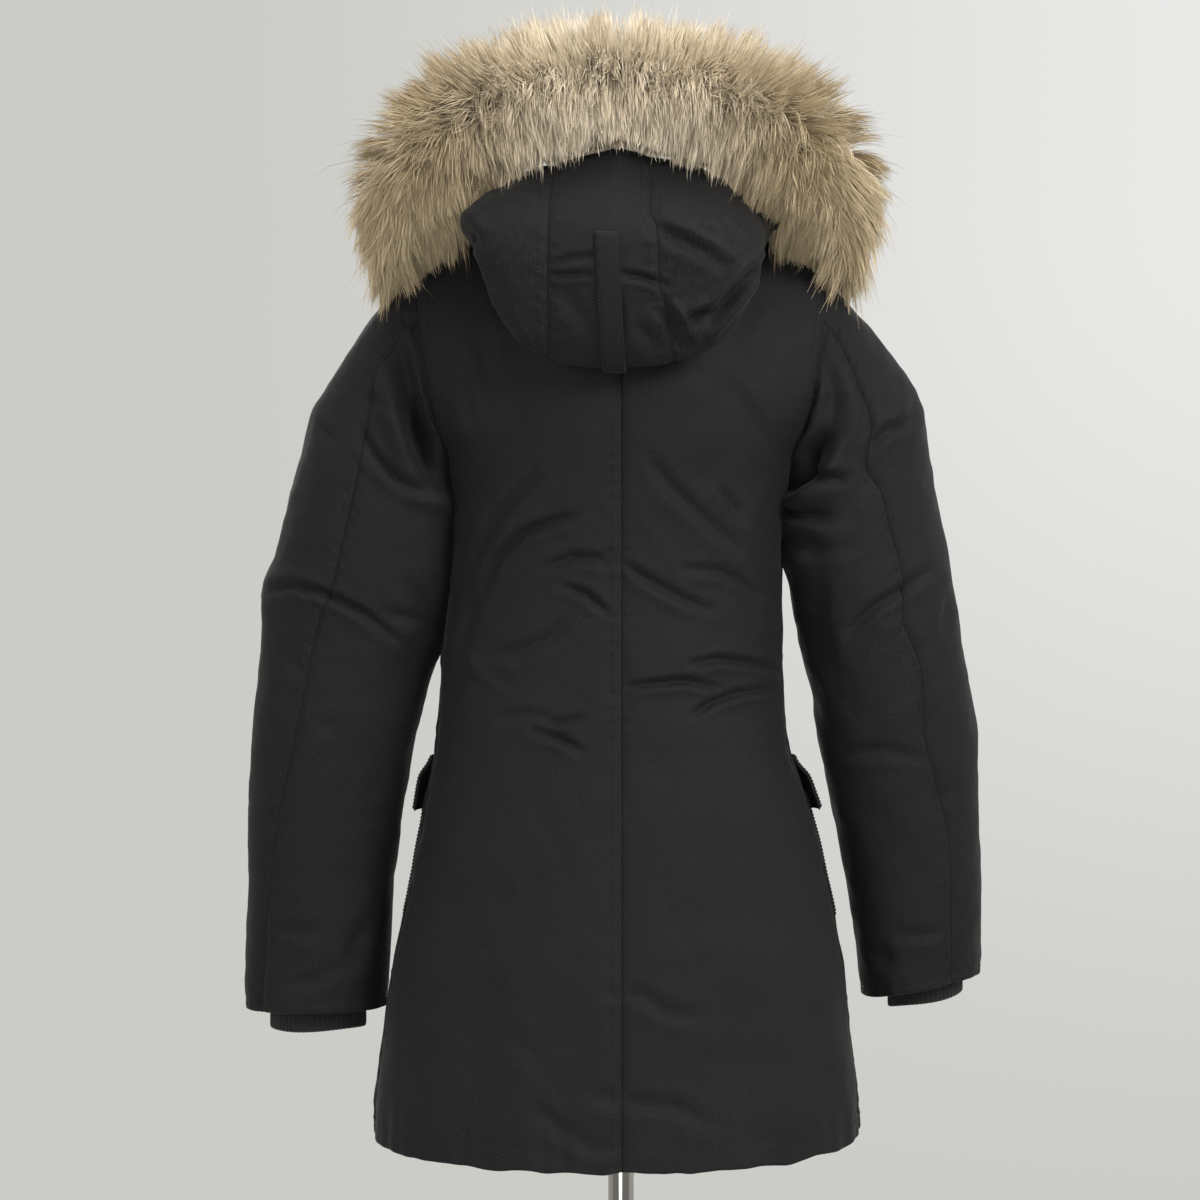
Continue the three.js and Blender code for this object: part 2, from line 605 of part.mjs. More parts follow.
// Folds fade out towards every seam, so the seams stay as cut
function bodyFold(side, face, u, v) {
  const point = bodyFace(side, face, u, v);
  const fade = smooth(clamp(Math.min(1 - u, v, 1 - v) / 0.07, 0, 1));
  return fade * foldDepth(face === BACK ? backFolds : frontFolds, point.x, point.z);
}

function bodyPanel(name, side, face, columns, from) {
  const place = (i) => mix(from, 1, i);
  const middleFade = (u) => (face === FRONT ? smooth(clamp((u - from) / 0.1, 0, 1)) : 1);
  panel(name, CLOTH, {
    outer: (i, v) => {
      const u = place(i);
      return bodyPoint(side, face, u, v, -bodyFold(side, face, u, v) * middleFade(u));
    },
    inner: (i, v) => bodyPoint(side, face, place(i), v, -BODY_WALL),
    columns,
    rows: LOWER_ROWS + UPPER_ROWS,
    trim: [SEAM_GAP, SEAM_GAP, 0, SEAM_GAP],
    flip: side * face > 0,
  });
}
const zipColumn = 0.062;
bodyPanel("back_left", LEFT, BACK, BACK_COLUMNS, 0);
bodyPanel("back_right", RIGHT, BACK, BACK_COLUMNS, 0);
bodyPanel("front_left", LEFT, FRONT, FRONT_COLUMNS, zipColumn);
bodyPanel("front_right", RIGHT, FRONT, FRONT_COLUMNS, zipColumn);

// Sleeves: rings blend from the armhole edge into the level sleeve sections
function ringTurn(rings, place, index) {
  const seam = readColumn(rings, "seam", place);
  const marks = [
    { at: 0, turn: 0 },
    { at: BACK_SEAM_POINT, turn: seam },
    { at: UNDER_POINT, turn: 180 },
    { at: FRONT_SEAM_POINT, turn: FRONT_SEAM_TURN },
    { at: RING_POINTS, turn: 360 },
  ];
  const round = ((index % RING_POINTS) + RING_POINTS) % RING_POINTS;
  const mark = placeOf(marks, "at", round);
  const i = Math.min(marks.length - 2, Math.floor(mark));
  return mix(marks[i].turn, marks[i + 1].turn, mark - i);
}
function armholeRing(side, index) {
  const round = ((index % RING_POINTS) + RING_POINTS) % RING_POINTS;
  const half = RING_POINTS / 2;
  return round <= half
    ? armhole(side, BACK, 1 - round / half)
    : armhole(side, FRONT, (round - half) / half);
}
function sleeveRing(side, place, index) {
  const rings = side === LEFT ? LEFT_RINGS : RIGHT_RINGS;
  const turn = radians(ringTurn(rings, place, index));
  const read = (column) => readColumn(rings, column, place);
  const across = signedPower(Math.cos(turn), 0.95);
  const x = (read("ox") + read("ix")) / 2 + ((read("ox") - read("ix")) / 2) * across;
  const z = (read("oz") + read("iz")) / 2 + ((read("oz") - read("iz")) / 2) * across;
  const y = read("y") + read("depth") * signedPower(Math.sin(turn), 0.95);
  return new THREE.Vector3(side * x, y, z);
}
// The sleeve's outer face: index round the arm, v from the armhole to the end
function sleeveFace(side, index, v) {
  const rings = side === LEFT ? LEFT_RINGS : RIGHT_RINGS;
  const place = v * rings.length - 1;
  if (place >= 0) return sleeveRing(side, place, index);
  return armholeRing(side, index).lerp(sleeveRing(side, 0, index), place + 1);
}
function armNormal(side, index, v) {
  const surface = (a, b) => sleeveFace(side, a * RING_POINTS, clamp(b, 0, 1));
  return normalOf(surface, index / RING_POINTS, v).multiplyScalar(-side);
}
function sleeveNormal(side, index, v) {
  const normal = armNormal(side, index, v);
  const round = ((index % RING_POINTS) + RING_POINTS) % RING_POINTS;
  const half = RING_POINTS / 2;
  const face = round <= half ? BACK : FRONT;
  const t = face === BACK ? 1 - round / half : (round - half) / half;
  const hold = armholeHold(t) * (1 - smooth(clamp(v / 0.12, 0, 1)));
  if (hold > 0) {
    const body = ownNormal(side, face, 1, SPLIT + (1 - SPLIT) * t);
    if (t > 0.98) body.add(ownNormal(side, -face, 1, SPLIT + (1 - SPLIT) * t)).normalize();
    normal.addScaledVector(body, hold).normalize();
  }
  return normal;
}
function sleeveFold(side, index, v) {
  const rows = side === LEFT ? LEFT_SLEEVE_FOLDS : RIGHT_SLEEVE_FOLDS;
  const rings = side === LEFT ? LEFT_RINGS : RIGHT_RINGS;
  const turn = ringTurn(rings, Math.max(0, v * rings.length - 1), index);
  const point = sleeveFace(side, index, v);
  const folds = rows.map((row) => ({
    a1: row.turn1,
    b1: row.z1,
    a2: row.turn2,
    b2: row.z2,
    depth: row.depth,
    width: row.width,
  }));
  const fade = smooth(clamp(Math.min(v, 1 - v) / 0.08, 0, 1));
  return fade * foldDepth(folds, turn, point.z);
}
function sleevePoint(side, index, v, lift) {
  return sleeveFace(side, index, v).addScaledVector(sleeveNormal(side, index, v), lift);
}
function sleevePanel(name, side, from, to) {
  const seamFade = (i) => smooth(clamp(Math.min(i, 1 - i) / 0.08, 0, 1));
  panel(name, CLOTH, {
    outer: (i, v) => {
      const index = mix(from, to, i);
      return sleevePoint(side, index, v, -sleeveFold(side, index, v) * seamFade(i));
    },
    inner: (i, v) => sleevePoint(side, mix(from, to, i), v, -SLEEVE_WALL),
    columns: to - from,
    rows: SLEEVE_STEPS,
    trim: [SEAM_GAP, SEAM_GAP, SEAT_GAP, 0],
    flip: side > 0,
  });
}
[LEFT, RIGHT].forEach((side) => {
  const word = side === LEFT ? "left" : "right";
  sleevePanel("sleeve_under_" + word, side, BACK_SEAM_POINT, FRONT_SEAM_POINT);
  sleevePanel("sleeve_outer_" + word, side, FRONT_SEAM_POINT, RING_POINTS + BACK_SEAM_POINT);
});

// Knit cuffs: seated inside the sleeve end, then narrowing below it
function knitCuff(name, side, knit) {
  const rings = side === LEFT ? LEFT_RINGS : RIGHT_RINGS;
  const end = rings[rings.length - 1];
  const endMiddle = { x: (end.ox + end.ix) / 2, z: (end.oz + end.iz) / 2 };
  const levels = [
    { rise: KNIT_SEAT, share: 0 },
    { rise: KNIT_SEAT - 9, share: 0.05 },
    { rise: KNIT_SEAT - 20, share: 0.7 },
    { rise: 4, share: 1 },
    { rise: -knit.drop, share: 1 },
  ];
  const ringAt = (level, inset) => {
    const ring = [];
    const half = mix((end.ox - end.ix) / 2 - SLEEVE_WALL - KNIT_CLEAR, knit.half, level.share) - inset;
    const depth = mix(end.depth - SLEEVE_WALL - KNIT_CLEAR, knit.depth, level.share) - inset;
    const middleX = mix(endMiddle.x, knit.x, level.share);
    const tilt = (end.oz - end.iz) / (end.ox - end.ix);
    for (let i = 0; i < KNIT_POINTS; i += 1) {
      const angle = (i / KNIT_POINTS) * Math.PI * 2 * side;
      const across = signedPower(Math.cos(angle), 0.95) * half;
      const x = middleX + across;
      ring.push(
        new THREE.Vector3(
          side * x,
          knit.y + signedPower(Math.sin(angle), 0.95) * depth,
          endMiddle.z + level.rise + (x - endMiddle.x) * tilt,
        ),
      );
    }
    return ring;
  };
  tubeWall(
    name,
    KNIT,
    [...levels].reverse().map((level) => ringAt(level, 0)),
    [...levels].reverse().map((level) => ringAt(level, KNIT_WALL)),
  );
}
knitCuff("knit_cuff_left", LEFT, LEFT_KNIT);
knitCuff("knit_cuff_right", RIGHT, RIGHT_KNIT);

// Fur ruff, as far out as its hair reaches
function ruffFrame(side, place) {
  const at = Math.abs(place);
  const way = place < 0 ? -side : side;
  const read = (column) => readColumn(RUFF_ROWS, column, at);
  const middle = new THREE.Vector3(RUFF_MIDDLE_X + way * read("x"), read("y"), read("z"));
  const lean = radians(read("lean"));
  const turn = radians(read("turn"));
  const outward = new THREE.Vector3(
    way * Math.sin(turn) * Math.sin(lean),
    Math.cos(turn) * Math.sin(lean),
    Math.cos(lean),
  );
  return { middle, outward, long: read("long"), thick: read("thick") };
}
function ruffSection(place) {
  const frame = ruffFrame(LEFT, place);
  const before = ruffFrame(LEFT, Math.max(place - 0.05, -HOOD_END)).middle;
  const after = ruffFrame(LEFT, Math.min(place + 0.05, HOOD_END)).middle;
  const along = after.sub(before).normalize();
  const across = new THREE.Vector3().crossVectors(frame.outward, along).normalize();
  const outward = new THREE.Vector3().crossVectors(along, across).normalize();
  return { ...frame, across, outward };
}
const ruffRings = [];
for (let j = -RUFF_STEPS; j <= RUFF_STEPS; j += 1) {
  const place = (j / RUFF_STEPS) * HOOD_END;
  const section = ruffSection(place);
  const endShare = (RUFF_STEPS - Math.abs(j)) / 1.6;
  const closing = Math.sqrt(clamp(mix(0.25, 1, clamp(endShare, 0, 1)), 0, 1));
  const ring = [];
  for (let i = 0; i < RUFF_POINTS; i += 1) {
    const angle = (-i / RUFF_POINTS) * Math.PI * 2;
    const fullness = mix(RUFF_ROOT, 1, smooth((1 + Math.cos(angle)) / 2));
    ring.push(
      section.middle
        .clone()
        .addScaledVector(section.outward, Math.cos(angle) * section.long * closing)
        .addScaledVector(section.across, Math.sin(angle) * section.thick * fullness * closing),
    );
  }
  ruffRings.push(ring);
}
lofted("fur_ruff", FUR, ruffRings);

// Hood cloth: from the neckline over the back, round the fold and up to the rim
function rimAt(side, ring) {
  const section = ruffSection(side * ring * RUFF_RING_STEP);
  return section.middle.clone().addScaledVector(section.outward, -section.long - RIM_GAP);
}
function hoodStation(place) {
  const side = place < 0 ? RIGHT : LEFT;
  const at = Math.min(Math.abs(place), HOOD_END);
  const ring = Math.min(Math.floor(at / RUFF_RING_STEP), RUFF_STEPS - 1);
  const rim = rimAt(side, ring).lerp(rimAt(side, ring + 1), at / RUFF_RING_STEP - ring);
  const turns = [...HOOD_ROWS.map((row) => row.turn), ...HOOD_SIDE_TURNS];
  const turn = through(turns, at);
  const neck = neckline(side, turn);
  neck.z += LAID_GAP;
  const centre = 1 - smooth(clamp(at / 4, 0, 1));
  const reach = (x, y, z, shift) => new THREE.Vector3(side * x + shift * centre, y, z);
  const lastRow = HOOD_ROWS.length - 1;
  const held = clamp(at, 0, lastRow);
  const row = (column) => readColumn(HOOD_ROWS, column, held);
  const bulge = (column) => readColumn(HOOD_BULGE, column, held);
  const direct = (share, lift) => {
    const point = neck.clone().lerp(rim, share);
    point.z += lift;
    return point;
  };
  const toSide = smooth(clamp(at - lastRow, 0, 1));
  const facing = radians(turn);
  const roll = neck.clone();
  roll.x += side * Math.sin(facing) * HOOD_ROLL.out;
  roll.y += Math.cos(facing) * HOOD_ROLL.out;
  roll.z += HOOD_ROLL.up;
  const points = [
    neck,
    roll.lerp(direct(0.12, 3), toSide),
    reach(row("layX"), row("layY"), row("layZ"), HOOD_SHIFT.lay).lerp(direct(0.25, 3), toSide),
    reach(row("foldX"), row("foldY"), row("foldZ"), HOOD_SHIFT.fold).lerp(direct(0.45, 4), toSide),
    reach(bulge("lowX"), bulge("lowY"), bulge("lowZ"), HOOD_SHIFT.low).lerp(direct(0.62, 4), toSide),
    reach(bulge("highX"), bulge("highY"), bulge("highZ"), HOOD_SHIFT.high).lerp(direct(0.82, 2), toSide),
    rim,
  ];
  return points;
}
function hoodFace(place, v) {
  const points = hoodStation(place);
  const at = v * (points.length - 1);
  return new THREE.Vector3(
    through(points.map((p) => p.x), at),
    through(points.map((p) => p.y), at),
    through(points.map((p) => p.z), at),
  );
}
function hoodNormal(place, v) {
  const surface = (a, b) => hoodFace(a * 10, clamp(b, 0, 1));
  return normalOf(surface, clamp(place, -8.9, 8.9) / 10, v).negate();
}
const hoodPoint = (place, v, lift) => hoodFace(place, v).addScaledVector(hoodNormal(place, v), lift);
function hoodSeam(side, v) {
  const seam = side === LEFT ? HOOD_SEAM_LEFT : HOOD_SEAM_RIGHT;
  const share = smooth(clamp((v - HOOD_FOLD_STEP) / (1 - HOOD_FOLD_STEP), 0, 1));
  return side * mix(seam.fold, seam.rim, share);
}

function hoodPanel(name, placeAt, columns) {
  panel(name, CLOTH, {
    outer: (i, v) => hoodPoint(placeAt(i, v), v, 0),
    inner: (i, v) => hoodPoint(placeAt(i, v), v, -HOOD_WALL),
    columns,
    rows: HOOD_STEPS,
    trim: [SEAM_GAP, SEAM_GAP, 0, 0],
    flip: true,
  });
}
hoodPanel("hood_centre", (i, v) => mix(hoodSeam(RIGHT, v), hoodSeam(LEFT, v), i), HOOD_MIDDLE_COLUMNS);
hoodPanel("hood_left", (i, v) => mix(hoodSeam(LEFT, v), HOOD_END, i), HOOD_SIDE_COLUMNS);
hoodPanel("hood_right", (i, v) => mix(-HOOD_END, hoodSeam(RIGHT, v), i), HOOD_SIDE_COLUMNS);

// Strap: lies on the hood from its box stitch down to the fold
function hoodPlaceAt(x, v) {
  let low = -2;
  let high = 2;
  for (let i = 0; i < 24; i += 1) {
    const middle = (low + high) / 2;
    if (hoodFace(middle, v).x < x) low = middle;
    else high = middle;
  }
  return (low + high) / 2;
}
const strapPoint = (i, j, lift) => {
  const v = mix(STRAP.endStep, STRAP.topStep, j);
  const x = mix(STRAP_END_X, STRAP_TOP_X, j) + (i - 0.5) * STRAP.width;
  return hoodPoint(hoodPlaceAt(x, v), v, lift);
};
panel("hood_strap", CLOTH, {
  outer: (i, j) => strapPoint(i, j, STRAP.lift + STRAP.thick),
  inner: (i, j) => strapPoint(i, j, STRAP.lift),
  columns: STRAP.columns,
  rows: STRAP.rows,
  trim: [0, 0, 0, 0],
  flip: true,
});

// Zip tape between the two fronts, and the fly sewn over it
const acrossFront = (column, v, lift) => {
  const side = column < 0 ? RIGHT : LEFT;
  return bodyPoint(side, FRONT, Math.abs(column), v, lift);
};
panel("zip_tape", CLOTH, {
  outer: (i, j) => acrossFront(mix(-zipColumn, zipColumn, i), mix(0.01, 0.995, j), -2),
  inner: (i, j) => acrossFront(mix(-zipColumn, zipColumn, i), mix(0.01, 0.995, j), -4),
  columns: 2,
  rows: LOWER_ROWS + UPPER_ROWS,
  trim: [0.3, 0.3, 0, 0],
  flip: false,
});
const flyColumn = FLY.share * zipColumn;
const flyTop = FLY.rows / (LOWER_ROWS + UPPER_ROWS);
panel("front_fly", CLOTH, {
  outer: (i, j) => {
    const edge = smooth(clamp(Math.min(i, 1 - i) / 0.25, 0, 1));
    return acrossFront(mix(-flyColumn, flyColumn, i), j * flyTop, LAID_GAP + mix(2, FLY.thick, edge));
  },
  inner: (i, j) => acrossFront(mix(-flyColumn, flyColumn, i), j * flyTop, LAID_GAP),
  columns: FLY.columns,
  rows: FLY.rows,
  trim: [0, 0, 0, 0],
  flip: false,
});

// Lower pockets and their flaps, laid on the fronts
function pocketPieces(side, word) {
  const place = (i) => mix(POCKET.inner, POCKET.outer, i);
  const height = (j) => bodyRow(mix(POCKET.low, POCKET.high, j));
  panel("pocket_" + word, CLOTH, {
    outer: (i, j) => {
      const edge = smooth(clamp(Math.min(i, 1 - i, j) / 0.2, 0, 1));
      return bodyPoint(side, FRONT, place(i), height(j), LAID_GAP + mix(2, POCKET.thick, edge));
    },
    inner: (i, j) => bodyPoint(side, FRONT, place(i), height(j), LAID_GAP),
    columns: POCKET.columns,
    rows: POCKET.rows,
    trim: [0, 0, 0, 0],
    flip: side < 0,
  });
  const flapPlace = (i) => mix(FLAP.inner, FLAP.outer, i);
  const flapHeight = (j) => bodyRow(mix(FLAP.low, FLAP.high, j));
  const stand = (j) => LAID_GAP + FLAP.stand * smooth(clamp((1 - j) / 0.45, 0, 1));
  panel("pocket_flap_" + word, CLOTH, {
    outer: (i, j) => bodyPoint(side, FRONT, flapPlace(i), flapHeight(j), stand(j) + FLAP.thick),
    inner: (i, j) => bodyPoint(side, FRONT, flapPlace(i), flapHeight(j), stand(j)),
    columns: FLAP.columns,
    rows: FLAP.rows,
    trim: [0, 0, 0, 0],
    flip: side < 0,
  });
}
pocketPieces(LEFT, "left");
pocketPieces(RIGHT, "right");

// Dress form, its wood neck cap and finial, and the stand
const formRings = FORM_ROWS.map((row) => {
  const ring = [];
  for (let i = 0; i < FORM_POINTS; i += 1) {
    const angle = (i / FORM_POINTS) * Math.PI * 2;
    const deep = Math.sin(angle) > 0 ? row.back : row.front;
    ring.push(
      new THREE.Vector3(
        row.shift + row.half * signedPower(Math.cos(angle), 0.93),
        deep * signedPower(Math.sin(angle), 0.93),
        row.z,
      ),
    );
  }
  return ring;
});
lofted("form_torso", LINEN, formRings);
const neckTop = FORM_ROWS[FORM_ROWS.length - 1];
turned("neck_finial", WOOD, FINIAL_PROFILE, FINIAL_TOP, (geometry) => {
  const shear = new THREE.Matrix4().set(1, 0, FINIAL_LEAN, 0, 0, 1, 0, 0, 0, 0, 1, 0, 0, 0, 0, 1);
  geometry.applyMatrix4(shear);
  geometry.translate(neckTop.shift, 0, neckTop.z + SEAT_GAP);
});
const poleTop = FORM_ROWS[0].z - SEAT_GAP;
const pole = new THREE.CylinderGeometry(
  POLE_RADIUS,
  POLE_RADIUS,
  poleTop - STAND_FOOT - SEAT_GAP,
  ROUND_SEGMENTS,
);
pole.rotateX(Math.PI / 2);
pole.translate(0, 0, (poleTop + STAND_FOOT + SEAT_GAP) / 2);
addMesh("stand_pole", pole, CHROME);
turned("stand_base", CHROME, BASE_PROFILE, STAND_FOOT, () => {});

export default part;
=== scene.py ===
"""Hooded down parka with a fur ruff, seen from behind on a dress form with a pole stand.

Metres, +Z up, the coat's front faces -Y. Tables of shapes are in millimetres.
"""
import math

import bmesh
import bpy
import numpy as np
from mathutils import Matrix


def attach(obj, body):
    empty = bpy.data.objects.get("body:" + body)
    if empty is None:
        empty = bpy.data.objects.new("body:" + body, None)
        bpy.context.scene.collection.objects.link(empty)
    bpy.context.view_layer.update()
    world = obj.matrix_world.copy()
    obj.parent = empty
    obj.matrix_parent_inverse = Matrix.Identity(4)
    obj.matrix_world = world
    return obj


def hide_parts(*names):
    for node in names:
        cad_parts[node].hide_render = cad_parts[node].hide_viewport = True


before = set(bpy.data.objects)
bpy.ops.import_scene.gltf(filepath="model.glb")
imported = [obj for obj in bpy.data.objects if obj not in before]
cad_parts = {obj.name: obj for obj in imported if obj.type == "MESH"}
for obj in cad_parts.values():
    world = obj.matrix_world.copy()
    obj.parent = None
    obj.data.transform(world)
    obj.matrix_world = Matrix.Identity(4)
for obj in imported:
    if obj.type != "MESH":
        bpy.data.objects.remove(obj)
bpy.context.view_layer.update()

bl_info = {
    "name": "Hooded parka",
    "version": (1, 0, 0),
    "blender": (4, 5, 0),
    "location": "View3D > Sidebar > Parka",
    "description": "Builds a hooded down parka with a fur ruff on a dress form",
    "category": "Object",
}

MM = 0.001
LEFT, RIGHT = 1, -1
BACK, FRONT = 1, -1


def columns(names, rows):
    """A table as one array for each named column."""
    table = np.array(rows, float)
    return {name: table[:, i] for i, name in enumerate(names.split())}


# Shapes in millimetres
CLOTH_ROUNDNESS = 2.15
HEM_RISE = {LEFT: 8, RIGHT: 15}
BODY_ROWS = columns("z left right back front", [
    (551, 229, 222, 150, 150), (590, 228, 219, 148, 149), (646, 221, 213, 143, 146),
    (715, 212, 206, 137, 141), (773, 199, 196, 131, 136), (834, 187, 182, 126, 130),
    (875, 180, 170, 123, 127), (912, 173, 157, 119, 123), (965, 169, 151, 113, 119),
    (1006, 167, 150, 111, 120), (1050, 162, 150, 111, 124), (1099, 157, 150, 113, 131),
    (1143, 157, 154, 116, 138), (1180, 159, 159, 118, 142)])
SPLIT = 16 / 28
BACK_MIDDLE = columns("at y z", [
    (0, 118, 1180), (0.25, 121, 1231), (0.5, 118, 1283), (0.75, 103, 1336), (1, 78, 1385)])
FRONT_MIDDLE = columns("at y z", [
    (0, -142, 1180), (0.25, -142, 1220), (0.5, -136, 1261), (0.75, -123, 1303), (1, -102, 1343)])
ARMHOLE = dict(low_x=159, low_z=1180, top_x=189, top_y=-4, top_z=1352, back=72, front=78,
               spread=1.1, roundness=0.92)
NECK_POINT = (72, 4, 1412)
NECK_ROUNDNESS, NECK_DIP = 0.9, 1.6
NECK_COLUMN = 0.42
SHOULDER_RISE = 5
SIDE_SEAM_SHIFT = 0.065
ZIP_COLUMN = 0.062
CREASED_HEIGHT = 366
HEM_STITCHES = 18
# Waves of the hem, up and down: height, seed and length of each.
HEM_WAVES = ((1.1, 8, 92), (0.3, 9, 41))
HEM_WAVE_REACH, HEM_WAVE_SHIFT = 26, 37

RING_POINTS = 24
BACK_SEAM_POINT, UNDER_POINT, FRONT_SEAM_POINT, FRONT_SEAM_TURN = 4, 12, 15, 225
SLEEVE_RINGS = {
    LEFT: columns("ox oz ix iz y depth seam", [
        (207, 1339, 162, 1165, -3, 75, 57), (227, 1317, 160, 1149, -4, 75, 59),
        (247, 1289, 159.6, 1131, -5, 75, 63), (267, 1259, 159.4, 1112, -6, 75, 71),
        (286, 1226, 160, 1092, -8, 75, 77), (298, 1180, 162.6, 1069, -10, 76, 77),
        (310, 1137, 165.4, 1044, -13, 76, 77), (321, 1095, 169, 1020, -16, 76, 77),
        (333, 1063, 174, 998, -19, 75, 76), (335, 1022, 184, 964, -23, 72, 72),
        (339, 976, 193, 928, -26, 69, 69), (344, 926, 200, 894, -30, 66, 66),
        (347, 880, 206, 858, -33, 64, 60), (349, 835, 211, 821, -36, 62, 55),
        (350, 785, 216, 779, -39, 60, 51), (352, 735, 218, 733, -42, 58, 48),
        (353, 700, 220, 701, -44, 57, 45), (352, 669, 221, 672, -45, 56, 43)]),
    RIGHT: columns("ox oz ix iz y depth seam", [
        (203, 1333, 162, 1166, -3, 74, 57), (224, 1311, 159.5, 1150, -4, 74, 62),
        (244, 1287, 157, 1133, -5, 74, 67), (263, 1262, 155, 1115, -6, 74, 71),
        (277, 1237, 154.5, 1097, -8, 74, 85), (285, 1194, 157, 1076, -10, 74, 77),
        (292, 1150, 161, 1048, -13, 74, 74), (302, 1105, 167, 1020, -16, 73, 72),
        (310, 1060, 174, 991, -19, 72, 78), (318, 1012, 182, 960, -23, 70, 71),
        (327, 966, 185, 932, -26, 67, 73), (333, 932, 191, 900, -30, 64, 76),
        (334, 886, 199, 864, -33, 61, 69), (336, 840, 207, 826, -36, 59, 62),
        (338, 792, 215, 782, -39, 57, 63), (339, 752, 222, 738, -42, 55, 64),
        (339, 728, 226, 708, -44, 53, 65), (338, 703, 230, 681, -45, 52, 65)]),
}
SLEEVE_LEAN = {LEFT: (985, 1222, 8), RIGHT: (1066, 1210, 11)}
SLEEVE_WALL = 6
SLEEVE_ROUNDNESS = 0.95
SLEEVE_TUCK, SLEEVE_TUCK_REACH = 4.5, 5
CUFF_STITCHES = 8
KNIT_SEAT, KNIT_CLEAR = 26, 0.9
KNIT = {LEFT: dict(x=286, y=-45, half=45, depth=39, drop=21),
        RIGHT: dict(x=288, y=-45, half=35, depth=34, drop=17)}

RUFF_MIDDLE_X = 3
RUFF_ROWS = columns("x y z lean turn long thick", [
    (0, 138, 1510, 0, 0, 57, 40), (84, 130, 1496, 20, 22, 60, 41), (145, 110, 1468, 43, 45, 60, 41),
    (184, 80, 1432, 64, 66, 57, 40), (200, 42, 1406, 84, 85, 52, 35), (199, 2, 1397, 100, 98, 50, 32),
    (182, -42, 1391, 108, 112, 47, 30), (150, -84, 1377, 112, 130, 45, 28),
    (108, -118, 1354, 116, 148, 42, 26), (66, -140, 1338, 118, 163, 38, 24)])
RUFF_ROOT = 0.34
RUFF_RING_STEP = 9 / 16
RIM_GAP = 2.3
HOOD_END = 9
HAIR_LOW_Y, HAIR_HIGH_Y = -183, 217
HAIR_BOUNDS = (-HOOD_END - 1, -2.35, -0.75, 0.75, 2.35, HOOD_END + 1)
PARTING_TURN, PARTING_SHARE = 84, 0.24

HOOD_SHIFT = dict(lay=2, fold=3, low=5, high=11)
HOOD_ROWS = columns("turn layX layY layZ foldX foldY foldZ lowX lowY lowZ highX highY highZ", [
    (0, 0, 128, 1312, 0, 146, 1256, 0, 184, 1296, 0, 194, 1380),
    (18, 36, 126, 1318, 57, 147, 1262, 72, 180, 1304, 84, 186, 1380),
    (36, 68, 118, 1336, 92, 148, 1287, 112, 168, 1322, 122, 168, 1384),
    (54, 92, 92, 1370, 108, 138, 1322, 124, 146, 1352, 138, 136, 1384),
    (72, 106, 52, 1403, 130, 92, 1372, 139, 92, 1376, 144, 84, 1385)])
HOOD_SIDE_TURNS = [90, 112, 134, 153, 168]
HOOD_ROLL_OUT, HOOD_ROLL_UP = 16, -1
HOOD_LINES = {LEFT: ((0.5, 0.7, 0.85, 1), (64, 65, 64, 61)),
              RIGHT: ((0.5, 0.66, 0.72, 0.82, 0.85, 1), (-47, -40, -32, -30, -24, -25))}
HOOD_FOLD_STEP = 0.5
HOOD_PRESS = dict(reach=18, height=1394, band=28, x=84, y=60)
STRAP = dict(width=21, thick=2.2, lift=1.4, top_step=0.81, end_step=0.45, top_x=14, end_x=5,
             box=13)

FLY = dict(share=2.6, thick=4, top=26 / 28)
POCKET = dict(thick=6, inner=0.36, outer=0.93, low=752, high=872)
FLAP = dict(thick=4.5, inner=0.34, outer=0.965, low=852, high=908, stand=7)
LAID_GAP = 0.9

FORM_ROWS = columns("z half back front shift", [
    (782, 146, 100, 98, 0), (830, 152, 107, 103, 0), (880, 150, 108, 104, 0), (940, 135, 97, 99, 0),
    (1000, 122, 88, 96, 0), (1060, 126, 90, 106, 0), (1120, 133, 94, 118, 0), (1180, 138, 97, 124, 0),
    (1230, 143, 97, 116, 0), (1280, 150, 90, 98, 0), (1320, 155, 76, 78, 0), (1344, 150, 62, 62, 0),
    (1363, 128, 54, 55, 1), (1381, 94, 50, 52, 2), (1396, 66, 49, 50, 4), (1412, 55, 49, 50, 6),
    (1440, 52, 49, 49, 9), (1470, 51, 49, 49, 13)])
FINIAL_LEAN, FINIAL_TOP = 0.1, 119
FINIAL_PROFILE = [(47, 0), (47, 6), (40, 10), (18, 14), (11, 22), (9, 40), (11, 58), (17, 70),
                  (21, 86), (20, 99), (15, 110), (8, 117)]
BASE_PROFILE = [(165, 0), (165, 5), (160, 9), (110, 15), (50, 21), (24, 26), (19, 34), (19, 62)]
POLE_RADIUS, STAND_FOOT = 12, 62
FORM_ROUNDNESS = 0.93
FORM_SEAMS = (0, 60, 90, 120, 180, 238, 270, 302)

# Walls and allowances in metres
KNIT_WALL, TAPE_WALL = 0.0022, 0.001
SEAM_ALLOWANCE, KNIT_ALLOWANCE = 0.012, 0.003

# The studio in metres. Each light has a name, a place, a width and a power.
LIGHTS = (
    ("key", (-1.9, 2.2, 2.6), 1.3, 78),
    ("fill", (2.4, 2.4, 2.0), 1.6, 24),
    ("room", (0.3, 3.4, 0.9), 1.8, 28),
    ("top", (0.1, 0.5, 3.2), 1.6, 24),
    ("front", (0.8, -3.0, 2.2), 2.4, 40),
)
LIGHT_AIM = (0, 0, 1.1)
FLOOR_RADIUS, FLOOR_DROP = 1.95, 0.0005
CAMERA_SIDE = 0.01953

